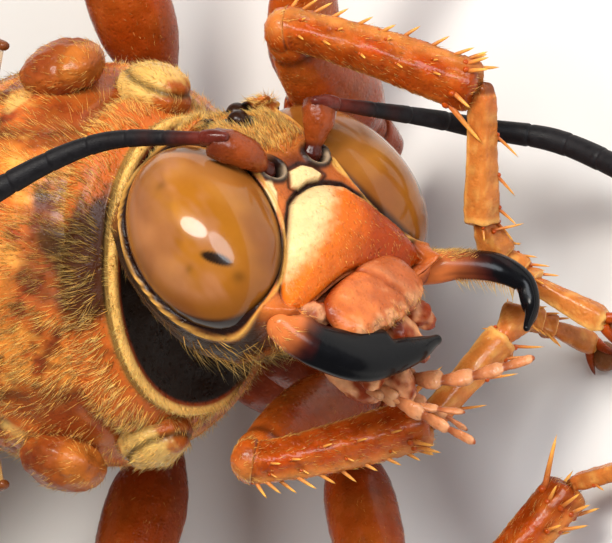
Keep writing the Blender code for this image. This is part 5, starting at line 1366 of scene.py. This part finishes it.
# veins in shares of the wing's length and width, then their radius at the root and at the end
wingVeins = {
    "fore": ((((0.01, 0.05), (0.25, 0.02), (0.50, 0.01), (0.66, 0.03)), 0.16, 0.11),
             (((0.01, 0.07), (0.25, 0.05), (0.50, 0.04), (0.64, 0.05)), 0.11, 0.08),
             (((0.66, 0.03), (0.76, 0.09), (0.88, 0.10)), 0.10, 0.05),
             (((0.66, 0.03), (0.70, 0.16), (0.78, 0.22), (0.88, 0.10)), 0.08, 0.06),
             (((0.01, 0.10), (0.20, 0.20), (0.40, 0.33), (0.60, 0.42), (0.75, 0.46)), 0.13, 0.06),
             (((0.40, 0.33), (0.47, 0.22), (0.60, 0.22), (0.70, 0.20)), 0.08, 0.06),
             (((0.22, 0.21), (0.36, 0.10), (0.47, 0.22)), 0.09, 0.07),
             (((0.55, 0.22), (0.58, 0.41)), 0.07, 0.06), (((0.66, 0.21), (0.68, 0.44)), 0.07, 0.06),
             (((0.40, 0.33), (0.43, 0.55), (0.56, 0.62), (0.58, 0.41)), 0.08, 0.06),
             (((0.43, 0.55), (0.45, 0.76)), 0.07, 0.05),
             (((0.56, 0.62), (0.66, 0.72), (0.68, 0.44)), 0.07, 0.05),
             (((0.02, 0.12), (0.12, 0.28), (0.24, 0.50), (0.38, 0.75)), 0.11, 0.06)),
    "hind": ((((0.01, 0.06), (0.25, 0.04), (0.50, 0.05), (0.60, 0.06)), 0.11, 0.07),
             (((0.50, 0.05), (0.60, 0.22), (0.78, 0.26)), 0.07, 0.05),
             (((0.01, 0.10), (0.20, 0.26), (0.36, 0.42), (0.60, 0.22)), 0.09, 0.06),
             (((0.36, 0.42), (0.50, 0.56), (0.66, 0.62)), 0.07, 0.05),
             (((0.02, 0.12), (0.14, 0.40), (0.28, 0.66)), 0.08, 0.05))}


def wingEdges(look, s):
    # how far across the front and rear edges lie at this share of the length: a bowed front,
    # and elliptic ends (1 - nose^2.2)^0.5 that meet at the tip
    apex = 0.40 * look["width"]
    nose, tail = np.clip((s - 0.78) / 0.22, 0, 1), np.clip((s - look["belly"]) / (1 - look["belly"]), 0, 1)
    lead = -0.035 * look["width"] * np.sin(math.pi * s) + apex * (1 - np.sqrt(1 - nose ** 2.2))
    chord = look["width"] * (0.09 + 0.91 * softStep(s / look["belly"]))
    return lead, apex + (chord - apex) * np.sqrt(1 - tail ** 2.2)


def onWing(look, along, across, drop, side):
    # the folded wing climbs over the body, droops at its tip and is lightly pleated
    climb = softStep(along / 9.0)
    droop = np.clip((along - 14.0) / 15.0, 0, None)
    z = 1.35 * climb + 0.19 * across * climb - 1.5 * droop ** 2 - drop * softStep(along / 5.0)
    z = z + 0.05 * np.sin(across * 2.6 + 0.12 * along) * climb
    spread = math.radians(wingShape["spread"])
    root = look["root"]
    x = root[0] + along * math.sin(spread) - across * math.cos(spread)
    y = root[1] + along * math.cos(spread) + across * math.sin(spread)
    return np.stack([x * side, y, root[2] + z], -1)


def makeWing(kind, side):
    look, drop = wingShape[kind], wingShape["drop"] if kind == "hind" else 0.0
    s = np.sin(np.linspace(0, math.pi / 2, 150))[:-1, None]
    t = np.linspace(0, 1, 50)[None]
    lead, trail = wingEdges(look, s)
    across, along = lead + (trail - lead) * t, s * look["length"] + 0 * t
    loop = lambda sign: onWing(look, along, across, drop, side) + (0, 0, sign * wingShape["membrane"] / 2)
    grid = np.concatenate([loop(1), loop(-1)[:, ::-1]], 1)
    run = np.concatenate([along, along[:, ::-1]], 1) / look["length"]
    tip = onWing(look, np.array(look["length"]), np.array(0.40 * look["width"]), drop, side)
    sheet = closedGrid(grid, None, tip, run=run)
    near = softStep(sheet["run"], 0.80, 1.0)
    tint = mix(wingShape["amber"], wingShape["smoke"],
               np.clip(0.75 * near + 0.15 * waves(sheet["points"], 3, 81), 0, 1))
    sheet["tint"] = tint
    sheet["clear"] = 0.40 + 0.15 * near
    veins = []
    for line, thick, thin in wingVeins[kind]:
        path = smoothRows(np.array(line) * (look["length"], look["width"]), 16 * len(line))
        size = np.linspace(thick, thin, len(path))
        vein = tube(np.column_stack([onWing(look, path[:, 0], path[:, 1], drop, side), size, size * 0.8]),
                    (0, 0, 1), len(path), 10)
        vein["tint"] = np.tile(wingShape["vein"], (len(vein["points"]), 1))
        veins.append(vein)
    rim = smoothRows(np.column_stack([s[:, 0] * look["length"], lead[:, 0]]), 150)
    size = np.interp(np.linspace(0, 1, 150), (0, 0.6, 1), (0.14, 0.10, 0.04))
    edge = tube(np.column_stack([onWing(look, rim[:, 0], rim[:, 1], drop, side), size, size * 0.8]),
                (0, 0, 1), 150, 10)
    edge["tint"] = np.tile(wingShape["vein"], (len(edge["points"]), 1))
    return sheet, joined(veins + [edge])


def membraneFinish():
    # clear amber film: see-through by the piece's own value, with a fine grain
    material = shellFinish("wingMembrane", rough=0.22, coat=0.3, coatRough=0.1, mottle=0.12, mottleSize=1.5,
                           grain=0.12, grainDepth=0.010, roughSpread=0.06)
    tree = material.node_tree
    clear = addNode(tree, "ShaderNodeAttribute", attribute_name="clear")
    tree.links.new(clear.outputs["Fac"], tree.nodes["Principled BSDF"].inputs["Alpha"])
    return material


finishes["membrane"] = membraneFinish()
for kind in ("fore", "hind"):
    for side, label in ((1, "left"), (-1, "right")):
        sheet, veins = makeWing(kind, side)
        makePiece(kind + "wing" + label.title(), sheet, finishes["membrane"],
                  ("%swing_%s" % (kind, label),))
        makePiece(kind + "veins" + label.title(), veins, finishes["leg"])
print("wings ready")

# Coats: golden hair on the trunk, collar, head, underside, mouth, legs and abdomen

def gathered(points, size, seed, low=0.25):
    # a clumped density from low to 1, so that the skin shows between the hairs
    return low + (1 - low) * softStep(waves(points, size, seed, 2), -0.3, 0.5)


def headAim(x, y, z):
    # a direction given in the head's own frame
    return headAxes @ np.array((x, y, z), float)


x, y, z = trunk["points"].T
top, rear = softStep(z, 0.2, 1.4), softStep(y, 2.2, 2.6)
clumps = gathered(trunk["points"] * (1, 0.45, 1), 0.55, 91, 0.06)
backward = lambda p: np.stack([0.25 * np.sign(p[:, 0]), 1.0 + 0 * p[:, 0], 0 * p[:, 0]], 1)
downward = lambda p: np.stack([0.1 * p[:, 0], 0.9 + 0 * p[:, 0], -0.8 + 0 * p[:, 0]], 1)
clumps = clumps * (1 - 0.85 * sidePlate(trunk["points"]))
front = clumps * top * (1 - rear) * (0.35 + softStep(-0.4 - y, -1.2, 1.4))
makeCoat("backHair", [coat(trunk, 9500, 101, front, backward, 0.27, 0.0068, 0.20, whirl=0.2),
                      coat(trunk, 900, 102, front, backward, 0.40, 0.008, 0.75)])
makeCoat("flankHair", [coat(trunk, 12000, 103, clumps * (1 - top) * (1 - rear), downward, 0.30, 0.0075,
                            0.25)]
         + [coat(cover, 750, 170, gathered(cover["points"], 0.5, 171, 0.1), backward, 0.20, 0.0065, 0.3)
            for cover in covers.values()])
makeCoat("rearHair", [coat(trunk, 9000, 104, clumps * rear, backward, 0.40, 0.010, 0.32)])

x, y, z = collar["points"].T
ridge = hump(collar["unwrap"][:, 1] - 0.55, 0.06) * softStep(z, -2.2, -1.2) * (np.abs(x) < 3.7)
lobes = ((np.abs(x) > 3.3) & (y > -3.1)).astype(float)
hood = softStep(collar["unwrap"][:, 1], 0.62, 0.72) * (np.abs(x) < 3.6)
fan = lambda p: unit(p * (1, 0, 1)) + (0, -0.4, 0)
makeCoat("collarHair", [coat(collar, 2600, 110, ridge, fan, 0.16, 0.006, 0.5, whirl=0.2),
                        coat(collar, 4000, 111, lobes, backward, 0.22, 0.007, 0.35),
                        coat(collar, 5000, 112, hood, backward, 0.32, 0.009, 0.40)])

own = fromHead(headSkin["points"])
x, y, z = own.T
overEye = sum(softStep(1.16 - eyePlace(own, side)[0], 0, 0.06)
              * softStep(0.9 - np.abs(eyePlace(own, side)[3]), 0, 0.2)
              for side in (1, -1))
fromSocket = np.hypot(np.abs(x) - sockets["place"][0], z - sockets["place"][1])
bare = (1 - np.clip(overEye, 0, 1)) * (1 - softStep(0.52 - fromSocket, 0, 0.06))
for place in ocelli["places"]:
    bare = bare * softStep(np.linalg.norm(own - place, axis=1), 0.36, 0.44)
brow = bare * softStep(z, 1.0, 1.35) * softStep(0.9 - y, 0, 0.5)
away = np.minimum(*[eyePlace(own, side)[0] for side in (1, -1)])
cheek = bare * softStep(y, 0.1, 0.6) * softStep(1.3 - z, 0, 0.4) * mix(0.03, 1.0, softStep(away, 1.5, 1.7))
dense = mix(0.04, 1.0, softStep(away, 1.4, 1.6) * softStep(x, -2.9, -2.4))
chin = bare * softStep(-1.2 - z, 0, 0.4) * softStep(y, -1.5, -1.0) * dense
shieldOn = softStep(edgeDistance(own[:, [0, 2]], clypeusOutline()), 0.05, 0.15) * (y < -1.0)
makeCoat("headHair", [coat(headSkin, 4600, 120, brow, headAim(0, 0.15, 1), 0.25, 0.0085, 1.4, spread=0.4),
                      coat(headSkin, 1600, 121, cheek, headAim(0, 0.5, -0.8), 0.18, 0.008, 0.3, "brown"),
                      coat(headSkin, 600, 122, chin, headAim(0, 0.2, -1), 0.55, 0.010, 0.7),
                      coat(headSkin, 700, 123, shieldOn, headAim(0, 0, -1), 0.10, 0.007, 0.5)])

jaw = jawSkins["left"]
base = softStep(0.42 - jaw["share"], 0, 0.1) * softStep(-np.cos(jaw["turn"]), -0.2, 0.5)
fringe, fringeOut, fringeAlong = alongTube(jawRows["left"], headAxes @ np.array(mandibles["left"]["inner"]),
                                           np.linspace(0.30, 0.64, 26), np.linspace(-8, 8, 26), 120)
comb, combOut, combAlong = alongTube(jawRows["left"], headAxes @ np.array(mandibles["left"]["inner"]),
                                     np.linspace(0.30, 0.55, 22), np.full(22, 38.0), 120)
draw = np.random.default_rng(160)
# the pale tips of these bristles are partly their own colour and partly painted glints
rows = [spikes(fringe - fringeOut * 0.03, fringeOut + 0.45 * fringeAlong + draw.normal(0, 0.12, (26, 3)),
               draw.uniform(0.30, 0.46, 26), np.full(26, 0.014), fringeAlong * 0.1, hairLook["brown"],
               hairLook["pale"], unwrap=np.full((26, 2), 0.5)),
        spikes(comb - combOut * 0.03, combOut + 1.2 * combAlong + draw.normal(0, 0.06, (22, 3)),
               draw.uniform(0.16, 0.22, 22), np.full(22, 0.013), combAlong * 0.1, hairLook["gold"],
               hairLook["pale"], unwrap=np.full((22, 2), 0.4))]
x, y, z = lip["local"].T
lowerLip = softStep(-z, 0.3, 0.8) * softStep(-y, -0.3, 0.3)
makeCoat("mouthHair", rows + [coat(jaw, 1300, 161, base, headAim(1, -0.4, -0.5), 0.16, 0.008, 0.6),
                              coat(lip, 170, 162, lowerLip, headAim(0.1, -0.2, -1), 0.15, 0.006, 0.5),
                              coat(jawSkins["right"], 110, 163,
                                   softStep(0.2 - jawSkins["right"]["share"], 0, 0.08),
                                   headAim(0.6, -0.4, -0.7), 0.18, 0.008, 0.6)])

makeCoat("chestHair", [coat(chest, 4500, 130, softStep(chest["points"][:, 1], -2.0, -2.6), (0, -0.5, -0.6),
                            0.5, 0.011, 0.5),
                       coat(neck, 900, 131, None, (0, 0.4, -0.6), 0.3, 0.010, 0.5)])

for name, (thigh, shin) in legSkins.items():
    title = name.replace("_", " ").title().replace(" ", "")
    along = [np.array(legs[name][b]) - np.array(legs[name][a])
             for a, b in (("hip", "knee"), ("knee", "ankle"))]
    makeCoat("legHair" + title, [coat(thigh, 900, 140, None, along[0], 0.14, 0.006, 0.25, rings=1),
                                 coat(shin, 1300, 141, None, along[1], 0.16, 0.007, 0.40, rings=1)])

x, y, z = abdomen["points"].T
makeCoat("abdomenHair", [coat(abdomen, 13500, 150, 0.4 + softStep(9.5 - y, 0, 2) + softStep(y, 24, 26),
                              (0, 1, -0.05), 0.20, 0.009, 0.25, "brown", whirl=0.1),
                         coat(abdomen, 1500, 151, softStep(y, 25.6, 27.5), (0, 1, 0), 0.45, 0.012, 0.4)])

# Floor, lights and camera

stageSetup = {"floorSize": 3.0, "floorShade": (0.78, 0.77, 0.75), "elevation": 42.0,
              "centre": (4.761, -0.141), "distance": 0.150, "frameWidth": 0.013304, "sensor": 36.0}


def makeStage():
    size = stageSetup["floorSize"] / 2
    mesh = bpy.data.meshes.new("floor")
    mesh.from_pydata([(-size, -size, 0), (size, -size, 0), (size, size, 0), (-size, size, 0)], [],
                     [(0, 1, 2, 3)])
    floor = bpy.data.objects.new("floor", mesh)
    bpy.context.scene.collection.objects.link(floor)
    paint = bpy.data.materials.new("paleFloor")
    paint.use_nodes = True
    shader = paint.node_tree.nodes["Principled BSDF"]
    shader.inputs["Base Color"].default_value = (*stageSetup["floorShade"], 1)
    shader.inputs["Roughness"].default_value = 0.8
    mesh.materials.append(paint)


def makeCamera():
    # the view is along minus n, with image up along the wasp's left
    rise = math.radians(stageSetup["elevation"])
    right = np.array([0, -math.sin(rise), -math.cos(rise)])
    up = np.array([1.0, 0, 0])
    back = np.cross(right, up)
    aim = right * stageSetup["centre"][0] + up * stageSetup["centre"][1]
    head = np.array(headPose["centre"])
    aim = aim + back * ((head - aim) @ back)
    data = bpy.data.cameras.new("camera")
    data.sensor_width = stageSetup["sensor"]
    data.lens = stageSetup["sensor"] * stageSetup["distance"] / stageSetup["frameWidth"]
    data.clip_start, data.clip_end = 0.01, 10.0
    camera = bpy.data.objects.new("camera", data)
    bpy.context.scene.collection.objects.link(camera)
    place = toFloor(aim) + back * stageSetup["distance"]
    table = np.eye(4)
    table[:3, 0], table[:3, 1], table[:3, 2], table[:3, 3] = right, up, back, place
    camera.matrix_world = Matrix(table.tolist())
    bpy.context.scene.camera = camera
    return right, up, back, toFloor(aim)


# the picture's lights: their way from the aim backward, up and right in the picture, and their look
lamps = {
    "key": {"from": (0.20, 0.14, -0.12), "size": (0.15, 0.08), "power": 0.78, "shade": (1.0, 0.95, 0.87),
            "shines": True, "twist": 0.6},
    "window": {"from": (0.25, 0.09, 0.02), "size": (0.17, 0.10), "power": 0.42, "shade": (0.88, 0.94, 1.0),
               "shines": True, "twist": 0.6},
    "fill": {"from": (0.16, -0.22, 0.06), "size": (0.14, 0.14), "power": 0.10, "shade": (0.9, 0.95, 1.0),
             "shines": False},
}


def makeLight(name, place, aim, look):
    light = bpy.data.lights.new(name, "AREA")
    light.shape = "ELLIPSE"
    light.size, light.size_y = look["size"]
    light.energy, light.color = look["power"], look.get("shade", (1, 1, 1))
    lamp = bpy.data.objects.new(name, light)
    bpy.context.scene.collection.objects.link(lamp)
    lamp.location = place
    turn = (Vector(place) - Vector(aim)).to_track_quat("Z", "Y").to_matrix().to_4x4()
    lamp.rotation_euler = (turn @ Matrix.Rotation(look.get("twist", 0.0), 4, "Z")).to_euler()
    lamp.visible_glossy = look["shines"]


makeStage()
right, up, back, aim = makeCamera()
for name, lamp in lamps.items():
    behind, above, beside = lamp["from"]
    makeLight(name, aim + back * behind + up * above + right * beside, aim, lamp)
makeLight("top", (0, 0.02, 0.35), (0, 0, 0), {"size": (0.25, 0.25), "power": 0.45, "shines": False})
world = bpy.data.worlds.new("softRoom")
world.use_nodes = True
world.node_tree.nodes["Background"].inputs["Color"].default_value = (1.0, 0.98, 0.95, 1)
world.node_tree.nodes["Background"].inputs["Strength"].default_value = 0.18
bpy.context.scene.world = world
bpy.context.scene.view_settings.view_transform = "Standard"

print("stage ready")
